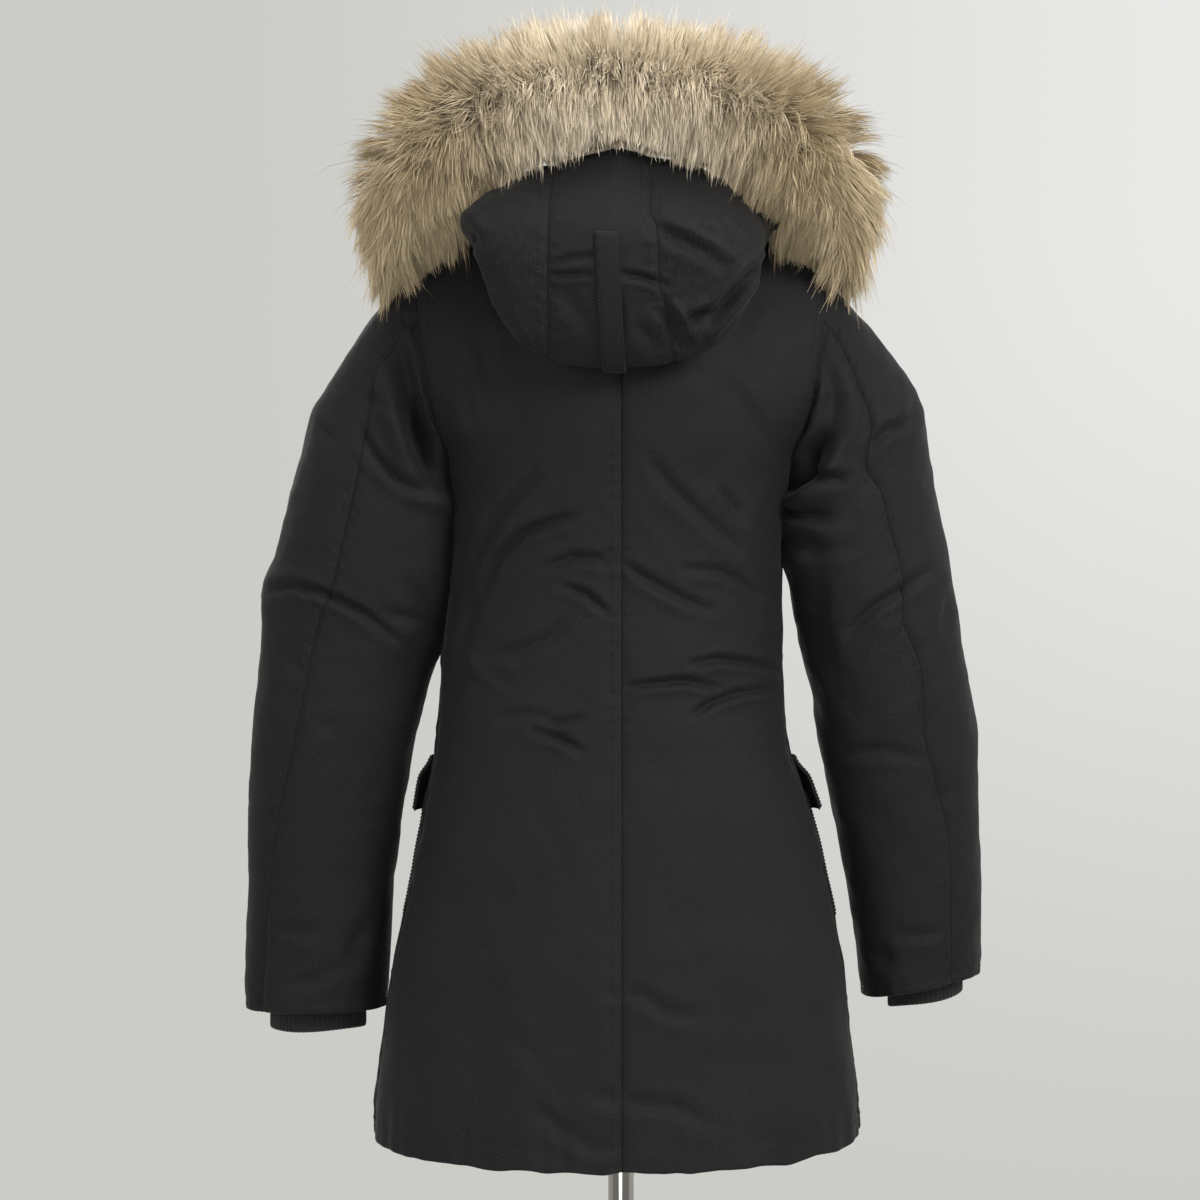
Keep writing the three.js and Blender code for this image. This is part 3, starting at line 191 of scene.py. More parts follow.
# Creases: a line of (x, z) points seen square on, its depth and its width.
# A negative depth is a ridge.
BACK_CREASES = [
    ([(78, 1162), (96, 1143), (112, 1126), (134, 1088)], 6.5, 6),
    ([(41, 1126), (66, 1121), (91, 1110), (112, 1089), (126, 1060)], 8, 4.4),
    ([(70, 1080), (44, 1090), (22, 1089), (10, 1080)], 6, 4.5),
    ([(12, 1092), (-10, 1078), (-32, 1065), (-56, 1052), (-80, 1043)], 6, 4.5),
    ([(54, 1064), (32, 1058), (14, 1041)], 6.5, 3.8),
    ([(46, 1036), (64, 1018), (86, 1008), (108, 1004)], 4.5, 6),
    ([(132, 1060), (142, 1020), (146, 980)], 3, 6),
    ([(146, 1010), (122, 980), (100, 962)], -2, 5),
    ([(-24, 1180), (-42, 1154), (-66, 1131), (-87, 1112), (-104, 1097)], 5, 6),
    ([(-90, 1150), (-110, 1120)], 5.5, 4.5),
    ([(-80, 1150), (-104, 1128), (-128, 1100)], -3, 5),
    ([(-54, 1080), (-88, 1078), (-112, 1066), (-126, 1054)], 4.5, 4.2),
    ([(-62, 995), (-86, 999), (-112, 996), (-144, 989)], 8, 3.6),
    ([(-2, 974), (-30, 978), (-58, 980), (-88, 972)], 8, 3.4),
    ([(-62, 949), (-82, 961), (-104, 968), (-140, 972)], 8, 3.4),
    ([(66, 940), (34, 947)], 4.5, 3.4),
    ([(82, 936), (58, 930), (34, 917)], 6, 3.8),
    ([(110, 946), (84, 950), (60, 946)], 2.5, 4.5),
    ([(86, 992), (96, 1000), (112, 1000)], 2, 5),
    ([(12, 972), (0, 966), (-6, 956)], 2.5, 5),
    ([(14, 707), (-20, 703), (-38, 690), (-68, 685)], 5, 5.5),
    ([(30, 617), (-8, 611), (-44, 608), (-76, 592)], 5, 6),
    ([(76, 606), (53, 586), (27, 573), (-4, 573)], 4.5, 6),
    ([(96, 668), (70, 640)], 2, 8),
    ([(140, 560), (128, 640), (118, 730)], 3, 18),
    ([(60, 556), (52, 640), (44, 700)], 2.5, 20),
    ([(-112, 560), (-104, 640), (-98, 720)], 3, 18),
    ([(-186, 566), (-176, 640), (-160, 720)], 3, 15),
    ([(-78, 1256), (-104, 1232), (-128, 1196)], 3, 8),
    ([(128, 1290), (118, 1250), (122, 1216)], 3, 8),
    ([(140, 1240), (132, 1206)], 2.5, 6),
    ([(-60, 1262), (-78, 1240)], 2, 7),
]
FRONT_CREASES = [
    ([(118, 1160), (92, 1136), (60, 1110)], 4, 9),
    ([(-122, 1150), (-98, 1120), (-70, 1096)], 4, 9),
    ([(132, 1014), (96, 1002), (60, 1000)], 4, 7),
    ([(-128, 990), (-86, 994), (-50, 1006)], 4, 7),
    ([(122, 962), (96, 966), (70, 976)], 3, 7),
    ([(-124, 948), (-98, 960), (-66, 964)], 3, 6),
    ([(112, 1080), (80, 1066), (50, 1062)], 3, 8),
    ([(-118, 700), (-88, 692), (-60, 690)], 2.5, 12),
    ([(150, 566), (140, 640), (128, 720)], 3, 20),
    ([(-96, 560), (-90, 640), (-84, 700)], 3, 20),
]
SLEEVE_CREASES = {
    LEFT: [
        ([(275, 1215), (268, 1204), (263, 1194)], 3.5, 4.5),
        ([(246, 1240), (226, 1236), (206, 1226)], 2.5, 5),
        ([(236, 1206), (224, 1182), (204, 1162), (182, 1146)], 6, 4.8),
        ([(201, 1278), (193, 1238), (185, 1202), (174, 1160)], 18, 9),
        ([(186, 1224), (179, 1190), (171, 1160)], 15, 9),
        ([(216, 1262), (208, 1222), (190, 1188)], -3, 9),
        ([(197, 1148), (170, 1140)], -4, 7),
        ([(326, 1060), (301, 1066), (272, 1058), (252, 1049), (234, 1040), (221, 1028), (212, 1018)], 7, 4.2),
        ([(320, 1075), (286, 1072)], -2, 8),
        ([(212, 1040), (186, 1030)], 5, 6),
        ([(194, 1064), (180, 1030), (190, 996)], 6, 9),
        ([(330, 1010), (308, 1000), (290, 986)], 2.5, 8),
        ([(278, 938), (261, 935)], 3, 6),
        ([(317, 748), (296, 744), (277, 746)], 3.5, 5),
        ([(305, 694), (280, 702), (265, 711)], 3, 6),
        ([(344, 860), (322, 850)], 2, 8),
        ([(232, 760), (246, 736), (252, 712)], 3, 8),
    ],
    RIGHT: [
        ([(-226, 1190), (-238, 1204), (-262, 1214)], 6, 4.2),
        ([(-272, 1238), (-266, 1222), (-252, 1206)], 4, 5),
        ([(-188, 1204), (-177, 1180), (-164, 1148)], 18, 7.5),
        ([(-180, 1186), (-171, 1160)], 15, 9),
        ([(-162, 1156), (-181, 1165), (-202, 1162)], 15, 4.4),
        ([(-158, 1143), (-178, 1148), (-202, 1146)], -6, 6),
        ([(-154, 1136), (-170, 1131), (-192, 1127)], 12, 5),
        ([(-156, 1112), (-176, 1104), (-186, 1090)], 7, 9),
        ([(-184, 1268), (-192, 1238), (-190, 1206)], 5, 7),
        ([(-206, 1246), (-211, 1216), (-206, 1190)], -4, 6),
        ([(-178, 1290), (-170, 1246), (-165, 1204)], -5, 9),
        ([(-168, 1104), (-196, 1098), (-220, 1102)], 3, 7),
        ([(-282, 1080), (-264, 1066), (-250, 1058), (-230, 1046), (-208, 1024)], 7, 4.2),
        ([(-256, 1038), (-240, 1026), (-222, 1006)], -2.5, 8),
        ([(-302, 1050), (-296, 1024)], 4, 5),
        ([(-180, 1070), (-178, 1030), (-190, 990)], 6, 10),
        ([(-207, 911), (-240, 914), (-277, 908)], 4.5, 5),
        ([(-255, 739), (-282, 743), (-298, 746)], 4, 5),
        ([(-318, 880), (-296, 868)], 2.5, 7),
        ([(-238, 730), (-250, 712)], 3, 7),
    ],
}
SLEEVE_FRONT_CREASES = {
    LEFT: [
        ([(322, 1062), (280, 1034), (236, 1016), (204, 1012)], 6, 11),
        ([(312, 1116), (272, 1094), (230, 1080), (200, 1078)], 5, 11),
        ([(250, 1180), (216, 1160), (186, 1150)], 5, 9),
        ([(330, 980), (296, 972), (262, 976)], 3, 9),
        ([(336, 760), (300, 750)], 2.5, 9),
    ],
    RIGHT: [
        ([(-300, 1070), (-262, 1044), (-226, 1024), (-198, 1016)], 6, 11),
        ([(-286, 1130), (-250, 1104), (-214, 1092)], 5, 11),
        ([(-240, 1186), (-208, 1164), (-180, 1154)], 5, 9),
        ([(-318, 966), (-286, 958), (-258, 962)], 3, 9),
        ([(-326, 790), (-292, 782)], 2.5, 9),
    ],
}
HOOD_CREASES = [
    ([(63, 1341), (47, 1346), (25, 1348)], 4.5, 3),
    ([(63, 1331), (25, 1333)], 4.5, 2.8),
    ([(2, 1333), (-17, 1330), (-41, 1322)], 6.5, 3.2),
    ([(-27, 1381), (-55, 1371), (-76, 1360), (-95, 1346)], -5.5, 3.8),
    ([(-29, 1370), (-55, 1359), (-74, 1349), (-88, 1338)], 4.5, 5.5),
    ([(-122, 1356), (-104, 1343), (-90, 1326), (-76, 1312), (-55, 1303)], -7, 4),
    ([(-74, 1301), (-58, 1294)], 10, 5),
    ([(-41, 1312), (-55, 1295), (-64, 1277)], -6.5, 3.6),
    ([(-30, 1306), (-42, 1290), (-50, 1272)], 5, 4),
    ([(-111, 1336), (-90, 1312), (-72, 1290)], 7.5, 4),
    ([(-120, 1338), (-97, 1308), (-76, 1280)], -5, 3.8),
    ([(-80, 1392), (-92, 1374), (-100, 1356)], 4, 5),
    ([(148, 1372), (134, 1368), (122, 1362)], 8, 7),
    ([(140, 1395), (126, 1381), (121, 1358)], -4, 6),
    ([(105, 1322), (92, 1295), (84, 1278)], -3, 7),
    ([(118, 1345), (104, 1318), (94, 1292)], 3, 6),
    ([(54, 1318), (40, 1302), (26, 1284)], 2.5, 7),
    ([(-14, 1292), (-27, 1272)], 3.5, 5),
    ([(128, 1392), (98, 1402), (70, 1393)], -2.5, 9),
    ([(-8, 1400), (-26, 1382), (-50, 1362)], 2, 7),
    ([(8, 1316), (2, 1296), (4, 1272)], 2.5, 5),
]


# Reading the shapes
def soft_step(before, start, end, after, t):
    """A soft curve from start to end that heeds the values on either side."""
    t2, t3 = t * t, t * t * t
    return ((2 * t3 - 3 * t2 + 1) * start + (t3 - 2 * t2 + t) * (end - before) / 2
            + (3 * t2 - 2 * t3) * end + (t3 - t2) * (after - start) / 2)


def through(values, place):
    """A soft curve through the rows of a table, read at places along them."""
    last = len(values) - 1
    at = np.clip(place, 0, last)
    i = np.minimum(last - 1, np.floor(at)).astype(int)
    return soft_step(values[np.maximum(i - 1, 0)], values[i], values[i + 1],
                     values[np.minimum(last, i + 2)], at - i)


def place_of(column, value):
    """The place along a table's rows where a column has a value."""
    return np.interp(value, column, np.arange(len(column)))


def mix(a, b, t):
    """From a to b, a share t of the way."""
    return a + (b - a) * t


def smooth(t):
    """A share held between 0 and 1 and eased at both ends."""
    t = np.clip(t, 0, 1)
    return t * t * (3 - 2 * t)


def signed_power(value, power):
    """A power that keeps the sign: under 1 it squares a round section off."""
    return np.sign(value) * np.abs(value) ** power


def stack(x, y, z):
    """Points from their three coordinates."""
    return np.stack(np.broadcast_arrays(x, y, z), -1).astype(float)


def unit(vectors):
    """Vectors brought to length 1."""
    return vectors / np.maximum(np.linalg.norm(vectors, axis=-1, keepdims=True), 1e-9)


def normal_of(surface, u, v, step=0.004):
    """Direction square to a surface, from steps to either side."""
    along_u = surface(u + step, v) - surface(u - step, v)
    along_v = surface(u, v + step) - surface(u, v - step)
    return unit(np.cross(along_u, along_v))


def armhole(side, face, t):
    """Armhole edge from the armpit (0) to the shoulder (1)."""
    hole = ARMHOLE
    turn = t * np.pi
    middle, half = (hole["low_z"] + hole["top_z"]) / 2, (hole["top_z"] - hole["low_z"]) / 2
    reach = hole["back"] if face == BACK else hole["front"]
    out = np.abs(np.sin(turn / 2)) ** hole["spread"]
    return stack(side * mix(hole["low_x"], hole["top_x"], out),
                 face * reach * np.abs(np.sin(turn)) ** hole["roundness"] + hole["top_y"] * t,
                 middle - half * np.cos(turn))


def neckline(side, turn):
    """Neckline by its turn in degrees from the middle of the back."""
    angle = np.radians(np.abs(turn))
    facing = np.cos(angle)
    share = np.abs(facing)
    end_y = np.where(facing > 0, BACK_MIDDLE["y"][-1], FRONT_MIDDLE["y"][-1])
    end_z = np.where(facing > 0, BACK_MIDDLE["z"][-1], FRONT_MIDDLE["z"][-1])
    return stack(side * NECK_POINT[0] * np.abs(np.sin(angle)) ** NECK_ROUNDNESS,
                 mix(NECK_POINT[1], end_y, share), mix(NECK_POINT[2], end_z, share ** NECK_DIP))


def quarter(side, face, u, row):
    """One quarter of a level section of the lower body, middle to side."""
    angle = u * np.pi / 2
    power = 2 / CLOTH_ROUNDNESS
    width = through(BODY_ROWS["left" if side == LEFT else "right"], row)
    depth = through(BODY_ROWS["back" if face == BACK else "front"], row)
    near_hem = np.clip(1 - row / 3, 0, 1)
    return stack(side * width * signed_power(np.sin(angle), power),
                 face * depth * signed_power(np.cos(angle), power),
                 through(BODY_ROWS["z"], row) + HEM_RISE[side] * near_hem * np.clip(u, 0, 1) ** 2)


def yoke(side, face, u, t):
    """Upper body between armpit row, middle, armhole and shoulder."""
    last = len(BODY_ROWS["z"]) - 1.0
    rows = BACK_MIDDLE if face == BACK else FRONT_MIDDLE

    def middle_at(s):
        place = place_of(rows["at"], s)
        return stack(0, through(rows["y"], place), through(rows["z"], place))

    shoulder = armhole(side, face, np.array([1.0]))
    s = np.clip(u, -0.01, 1)
    share = s / NECK_COLUMN
    neck = neckline(side, 90 * share if face == BACK else 180 - 90 * share)
    over = np.clip((s - NECK_COLUMN) / (1 - NECK_COLUMN), 0, 1)
    slope = mix(neckline(side, np.array([90.0])), shoulder, over[:, None])
    slope[:, 2] += SHOULDER_RISE * np.sin(over * np.pi)
    high = np.where((s <= NECK_COLUMN)[:, None], neck, slope)
    uu, tt = u[:, None], t[:, None]
    zero = np.zeros(1)
    corner_low = quarter(side, face, zero, zero + last)
    corner_side = quarter(side, face, zero + 1, zero + last)
    corner_high = middle_at(zero + 1)
    return (quarter(side, face, u, np.full_like(u, last)) * (1 - tt) + high * tt
            + middle_at(t) * (1 - uu) + armhole(side, face, t) * uu
            - corner_low * (1 - uu) * (1 - tt) - corner_side * uu * (1 - tt)
            - corner_high * (1 - uu) * tt - shoulder * uu * tt)


def body_face(side, face, u, v):
    """The coat body's outer face: u from the middle to the side, v up from the hem."""
    z = mix(BODY_ROWS["z"][0], BODY_ROWS["z"][-1], np.minimum(v, SPLIT) / SPLIT)
    low = quarter(side, face, u, place_of(BODY_ROWS["z"], z))
    high = yoke(side, face, u, np.maximum((v - SPLIT) / (1 - SPLIT), 0))
    return np.where((v <= SPLIT)[:, None], low, high)


def own_normal(side, face, u, v):
    """Outward direction of one panel alone."""
    def surface(a, b):
        return body_face(side, face, a, np.clip(b, 0, 1))
    held = np.where(v < SPLIT, v, np.maximum(v, SPLIT + 0.005))
    return normal_of(surface, np.clip(u, 0, 0.995), held) * (-side * face)


def armhole_hold(t):
    """How far the body's and the sleeve's directions are shared, armpit to shoulder."""
    return smooth((t - 0.3) / 0.25)


def body_normal(side, face, u, v):
    """Outward direction, shared by both sides of the shoulder and armhole seams."""
    normal = own_normal(side, face, u, v)
    near_top = smooth((v - 0.9) / 0.1) * smooth((u - NECK_COLUMN + 0.08) / 0.12)
    normal = unit(normal + own_normal(side, -face, u, v) * near_top[:, None])
    t = (v - SPLIT) / (1 - SPLIT)
    near_arm = smooth((u - 0.8) / 0.2) * armhole_hold(t)
    half = RING_POINTS / 2
    index = half * (1 - t) if face == BACK else half * (1 + t)
    return unit(normal + arm_normal(side, index, np.zeros_like(index)) * near_arm[:, None])


def ring_turn(rings, place, index):
    """Turn round the sleeve, in degrees, of a place between its seams."""
    seam = through(rings["seam"], place)
    at = index % RING_POINTS
    first = seam * at / BACK_SEAM_POINT
    second = mix(seam, 180, (at - BACK_SEAM_POINT) / (UNDER_POINT - BACK_SEAM_POINT))
    third = mix(180, FRONT_SEAM_TURN, (at - UNDER_POINT) / (FRONT_SEAM_POINT - UNDER_POINT))
    fourth = mix(FRONT_SEAM_TURN, 360, (at - FRONT_SEAM_POINT) / (RING_POINTS - FRONT_SEAM_POINT))
    return np.where(at <= BACK_SEAM_POINT, first,
                    np.where(at <= UNDER_POINT, second, np.where(at <= FRONT_SEAM_POINT, third, fourth)))


def sleeve_ring(side, place, index):
    """A point on one of the sleeve's rings."""
    rings = SLEEVE_RINGS[side]
    turn = np.radians(ring_turn(rings, place, index))
    names = ("ox", "oz", "ix", "iz", "y", "depth")
    ox, oz, ix, iz, y, depth = (through(rings[name], place) for name in names)
    across = signed_power(np.cos(turn), SLEEVE_ROUNDNESS)
    return stack(side * ((ox + ix) / 2 + (ox - ix) / 2 * across),
                 y + depth * signed_power(np.sin(turn), SLEEVE_ROUNDNESS),
                 (oz + iz) / 2 + (oz - iz) / 2 * across)


def armhole_ring(side, index):
    """The armhole's edge as the sleeve's first ring."""
    at = index % RING_POINTS
    half = RING_POINTS / 2
    return np.where((at <= half)[:, None], armhole(side, BACK, 1 - np.minimum(at, half) / half),
                    armhole(side, FRONT, np.maximum(at - half, 0) / half))


def sleeve_face(side, index, v):
    """The sleeve's outer face: index round the arm, v from the armhole to the end."""
    place = v * len(SLEEVE_RINGS[side]["ox"]) - 1
    far = sleeve_ring(side, np.maximum(place, 0), index)
    near = mix(armhole_ring(side, index), sleeve_ring(side, np.zeros_like(place), index),
               np.clip(place + 1, 0, 1)[:, None])
    return np.where((place >= 0)[:, None], far, near)


def arm_normal(side, index, v):
    """Outward direction of the sleeve alone."""
    def surface(a, b):
        return sleeve_face(side, a * RING_POINTS, np.clip(b, 0, 1))
    return normal_of(surface, index / RING_POINTS, v) * -side


def sleeve_normal(side, index, v):
    """Outward direction of the sleeve, shared with the body near the armhole."""
    normal = arm_normal(side, index, v)
    at = index % RING_POINTS
    half = RING_POINTS / 2
    back = at <= half
    t = np.where(back, 1 - at / half, (at - half) / half)
    rise = SPLIT + (1 - SPLIT) * t
    one = np.ones_like(t)
    own_back, own_front = own_normal(side, BACK, one, rise), own_normal(side, FRONT, one, rise)
    body = np.where(back[:, None], own_back, own_front)
    body = np.where((t > 0.98)[:, None], unit(own_back + own_front), body)
    hold = armhole_hold(t) * (1 - smooth(v / 0.12))
    return unit(normal + body * hold[:, None])


def ruff_frame(place):
    """Middle, outward direction and half sizes of the ruff at a place along it."""
    at, way = np.abs(place), np.where(place < 0, -1.0, 1.0)
    x, y, z, long, thick = (through(RUFF_ROWS[n], at) for n in ("x", "y", "z", "long", "thick"))
    lean, turn = (np.radians(through(RUFF_ROWS[n], at)) for n in ("lean", "turn"))
    outward = stack(way * np.sin(turn) * np.sin(lean), np.cos(turn) * np.sin(lean), np.cos(lean))
    return stack(RUFF_MIDDLE_X + way * x, y, z), outward, long, thick


def ruff_section(place):
    """Middle, outward and across directions and half sizes of the ruff."""
    middle, outward, long, thick = ruff_frame(place)
    before = ruff_frame(np.maximum(place - 0.05, -HOOD_END))[0]
    after = ruff_frame(np.minimum(place + 0.05, HOOD_END))[0]
    along = unit(after - before)
    across = unit(np.cross(outward, along))
    return middle, unit(np.cross(along, across)), across, along, long, thick


def ruff_point(place, angle, share=1.0):
    """A point on the ruff's teardrop section, at shares of its full size."""
    middle, outward, across, _, long, thick = ruff_section(place)
    fullness = mix(RUFF_ROOT, 1, smooth((1 + np.cos(angle)) / 2))
    end = np.sqrt(np.clip(mix(0.25, 1, np.clip((HOOD_END - np.abs(place)) / 0.9, 0, 1)), 0, 1))
    end = end * share
    return (middle + outward * (np.cos(angle) * long * end)[:, None]
            + across * (np.sin(angle) * thick * fullness * end)[:, None])


def rim_at(side, ring):
    """The hood's rim under one ring of the ruff."""
    middle, outward, _, _, long, _ = ruff_section(side * ring * RUFF_RING_STEP)
    return middle - outward * (long + RIM_GAP)[:, None]


def hood_station(place):
    """Seven points of each hood station, from the neckline to the rim."""
    side = np.where(place < 0, RIGHT, LEFT).astype(float)
    at = np.minimum(np.abs(place), HOOD_END)
    ring = np.minimum(np.floor(at / RUFF_RING_STEP), 15)
    rim = mix(rim_at(side, ring), rim_at(side, ring + 1), (at / RUFF_RING_STEP - ring)[:, None])
    turn = through(np.array(list(HOOD_ROWS["turn"]) + HOOD_SIDE_TURNS), at)
    neck = neckline(side, turn)
    neck[:, 2] += LAID_GAP
    centre = 1 - smooth(at / 4)
    held = np.clip(at, 0, 4)
    to_side = smooth(at - 4)[:, None]
    facing = np.radians(turn)
    roll = neck + stack(side * np.sin(facing) * HOOD_ROLL_OUT, np.cos(facing) * HOOD_ROLL_OUT, HOOD_ROLL_UP)

    def direct(share, lift):
        return mix(neck, rim, share) + np.array([0, 0, lift])

    def reach(name):
        x, y, z = (through(HOOD_ROWS[name + axis], held) for axis in "XYZ")
        return stack(side * x + HOOD_SHIFT[name] * centre, y, z)

    return [neck, mix(roll, direct(0.12, 3), to_side), mix(reach("lay"), direct(0.25, 3), to_side),
            mix(reach("fold"), direct(0.45, 4), to_side), mix(reach("low"), direct(0.62, 4), to_side),
            mix(reach("high"), direct(0.82, 2), to_side), rim]


def hood_face(place, v):
    """The hood's outer face: place round the neck, v from the neckline to the rim."""
    points = np.array(hood_station(place))
    last = len(points) - 1
    at = np.clip(v * last, 0, last)
    i = np.minimum(last - 1, np.floor(at)).astype(int)
    n = np.arange(len(at))
    return soft_step(points[np.maximum(i - 1, 0), n], points[i, n], points[i + 1, n],
                     points[np.minimum(last, i + 2), n], (at - i)[:, None])


def hood_normal(place, v):
    """Outward direction of the hood."""
    def surface(a, b):
        return hood_face(a * 10, np.clip(b, 0, 1))
    return -normal_of(surface, np.clip(place, -8.9, 8.9) / 10, v)


def hood_place_at(x, v):
    """The place round the neck where the hood has a given x, by halving."""
    low, high = np.full_like(x, -2.0), np.full_like(x, 2.0)
    for _ in range(22):
        middle = (low + high) / 2
        under = hood_face(middle, v)[:, 0] < x
        low, high = np.where(under, middle, low), np.where(under, high, middle)
    return (low + high) / 2


# Laying cloth in rows
def lengths(points, axis):
    """Distance walked along the rows (axis 1) or the columns (axis 0)."""
    step = np.linalg.norm(np.diff(points, axis=axis), axis=-1)
    pad = [(0, 0), (0, 0)]
    pad[axis] = (1, 0)
    return np.pad(np.cumsum(step, axis=axis), pad)


SEAM_COLUMNS = np.array([0, 1.4, 3, 5.2, 8.4, 10.5])


def even_columns(surface, rows, inner, crowd=1.0):
    """Places across each row: at set distances from both seams, and between them
    even, or crowded towards the first seam."""
    fine = np.linspace(0, 1, 200)
    across, up = np.meshgrid(fine, rows)
    points = surface(across.ravel(), up.ravel()).reshape(len(rows), len(fine), 3)
    between = np.linspace(0, 1, inner + 2)[1:-1] ** crowd
    places = []
    for line in lengths(points, 1):
        total = line[-1]
        near = SEAM_COLUMNS * min(1, 0.3 * total / SEAM_COLUMNS[-1])
        far = total - near[::-1]
        want = np.concatenate([near, mix(near[-1], far[0], between), far])
        places.append(np.interp(want, line, fine))
    return np.array(places)


def relax(fields, share, turns, axis):
    """Evens points and directions along the rows (axis 1) or columns (axis 0)."""
    weight = np.moveaxis(share, axis, 0)[1:-1, :, None]
    for field in fields:
        turned = np.moveaxis(field, axis, 0)
        for _ in range(turns):
            even = (turned[:-2] + turned[2:]) / 2 - turned[1:-1]
            turned[1:-1] += even * (0.5 * weight)


def wander(values, seed, size):
    """A soft uneven wave of about unit height, with bumps about one size long."""
    rng = np.random.default_rng(seed)
    total = np.zeros_like(values, float)
    for share in (1.0, 0.62, 0.41):
        total += np.sin(values * 2 * np.pi / (size * share * rng.uniform(0.8, 1.2)) + rng.uniform(0, 6.3))
    return total / 2


def unevenness(points, seed, size):
    """Small soft swells of the cloth, different everywhere."""
    rng = np.random.default_rng(seed)
    total = np.zeros(points.shape[:-1])
    for _ in range(14):
        way = unit(rng.normal(size=3))
        total += np.sin(points @ way * 2 * np.pi / (size * rng.uniform(0.6, 1.7)) + rng.uniform(0, 6.3))
    return total / 3.7


def crease_height(points, creases, facing):
    """Height of listed troughs and ridges, each with a soft lip beside it."""
    x, z = points[..., 0], points[..., 2]
    height = np.zeros(x.shape)
    for line, depth, width in creases:
        line = np.array(line, float)
        spans = np.linalg.norm(np.diff(line, axis=0), axis=1)
        total = spans.sum()
        nearest = np.full(x.shape, 1e9)
        signed = np.zeros(x.shape)
        walked = np.zeros(x.shape)
        passed = 0.0
        for a, b, span in zip(line[:-1], line[1:], spans):
            way = (b - a) / span
            along = np.clip((x - a[0]) * way[0] + (z - a[1]) * way[1], 0, span)
            dx, dz = x - a[0] - way[0] * along, z - a[1] - way[1] * along
            off = np.hypot(dx, dz)
            better = off < nearest
            nearest = np.where(better, off, nearest)
            side_of_line = np.sign(way[0] * dz - way[1] * dx) * np.sign(-way[0] + 1e-9)
            signed = np.where(better, off * side_of_line, signed)
            walked = np.where(better, passed + along, walked)
            passed += span
        taper = 0.25 + 0.75 * np.sin(np.clip(walked / total, 0, 1) * np.pi) ** 0.6
        trough = np.exp(-(nearest / width) ** 2)
        lip = (0.36 * np.exp(-((signed - 1.9 * width) / (1.2 * width)) ** 2)
               + 0.16 * np.exp(-((signed + 1.8 * width) / width) ** 2))
        height += depth * taper * (lip - trough) if depth > 0 else -depth * taper * trough
    return height * facing


def seam_height(distance, walked, seed, depth=1.7, pucker=0.8):
    """The cloth pulls in at a seam and puckers unevenly beside it."""
    wave = wander(walked, seed, 17)
    return (-depth * (1 + 0.2 * wave) * np.exp(-(distance / 3.4) ** 2)
            + pucker * wave * np.exp(-((distance - 6) / 6.5) ** 2)
            - 0.9 * np.exp(-(distance / 14) ** 2))


def turned_edge(points, normals, at_start, roll=2.4, deep=16):
    """Rows that roll an open edge inwards and lead the cloth up inside."""
    edge, inner = (points[0], points[1]) if at_start else (points[-1], points[-2])
    normal = normals[0] if at_start else normals[-1]
    out = unit(edge - inner)
    rows = []
    for angle in (35, 75, 115, 150, 180):
        a = math.radians(angle)
        rows.append(edge + out * roll * math.sin(a) - normal * roll * (1 - math.cos(a)))
    for back in (5, deep):
        rows.append(edge - out * back - normal * 2 * roll)
    rows = np.array(rows)
    if at_start:
        return np.concatenate([rows[::-1], points]), len(rows)
    return np.concatenate([points, rows]), len(rows)


def placed(name, mesh, material, smooth_faces=True):
    """Puts a finished mesh in the scene with its material."""
    mesh.materials.append(material)
    mesh.polygons.foreach_set("use_smooth", np.full(len(mesh.polygons), smooth_faces))
    obj = bpy.data.objects.new(name, mesh)
    bpy.context.scene.collection.objects.link(obj)
    return obj


def cloth_piece(name, points, normals, wall, material):
    """One sewn panel: a grid laid on the points (mm), with UVs in metres.

    A wall of 0 leaves it a single face, for a piece that is closed later."""
    rows, cols = points.shape[0] - 1, points.shape[1] - 1
    bm = bmesh.new()
    bmesh.ops.create_grid(bm, x_segments=cols, y_segments=rows, size=0.5)
    mesh = bpy.data.meshes.new(name)
    bm.to_mesh(mesh)
    bm.free()
    flat = np.empty(len(mesh.vertices) * 3, np.float32)
    mesh.vertices.foreach_get("co", flat)
    flat = flat.reshape(-1, 3)
    i = np.rint((flat[:, 0] - flat[:, 0].min()) / np.ptp(flat[:, 0]) * cols).astype(int)
    j = np.rint((flat[:, 1] - flat[:, 1].min()) / np.ptp(flat[:, 1]) * rows).astype(int)
    mesh.vertices.foreach_set("co", (points[j, i] * MM).astype(np.float32).ravel())
    across, along = lengths(points, 1)[j, i] * MM, lengths(points, 0)[:, cols // 2][j] * MM
    loops = np.empty(len(mesh.loops), np.int32)
    mesh.loops.foreach_get("vertex_index", loops)
    layer = mesh.uv_layers.new(name="cloth")
    layer.data.foreach_set("uv", np.stack([across[loops], along[loops]], 1).astype(np.float32).ravel())
    mesh.update()
    near = mesh.polygons[(rows // 2) * cols + cols // 2]
    facing = np.dot(np.array(near.normal), normals[rows // 2, cols // 2])
    if facing < 0:
        mesh.flip_normals()
    obj = placed(name, mesh, material)
    if wall:
        solid = obj.modifiers.new("wall", "SOLIDIFY")
        solid.thickness = wall
        solid.offset = -1
        solid.use_rim = True
    return obj


def close_seams(piece, fill=False):
    """Merges the two edges of a piece laid all the way round, and fills its ends if asked."""
    joined = bmesh.new()
    joined.from_mesh(piece.data)
    bmesh.ops.remove_doubles(joined, verts=joined.verts, dist=1e-5)
    if fill:
        bmesh.ops.holes_fill(joined, edges=[e for e in joined.edges if e.is_boundary], sides=0)
        bmesh.ops.recalc_face_normals(joined, faces=joined.faces)
    joined.to_mesh(piece.data)
    joined.free()


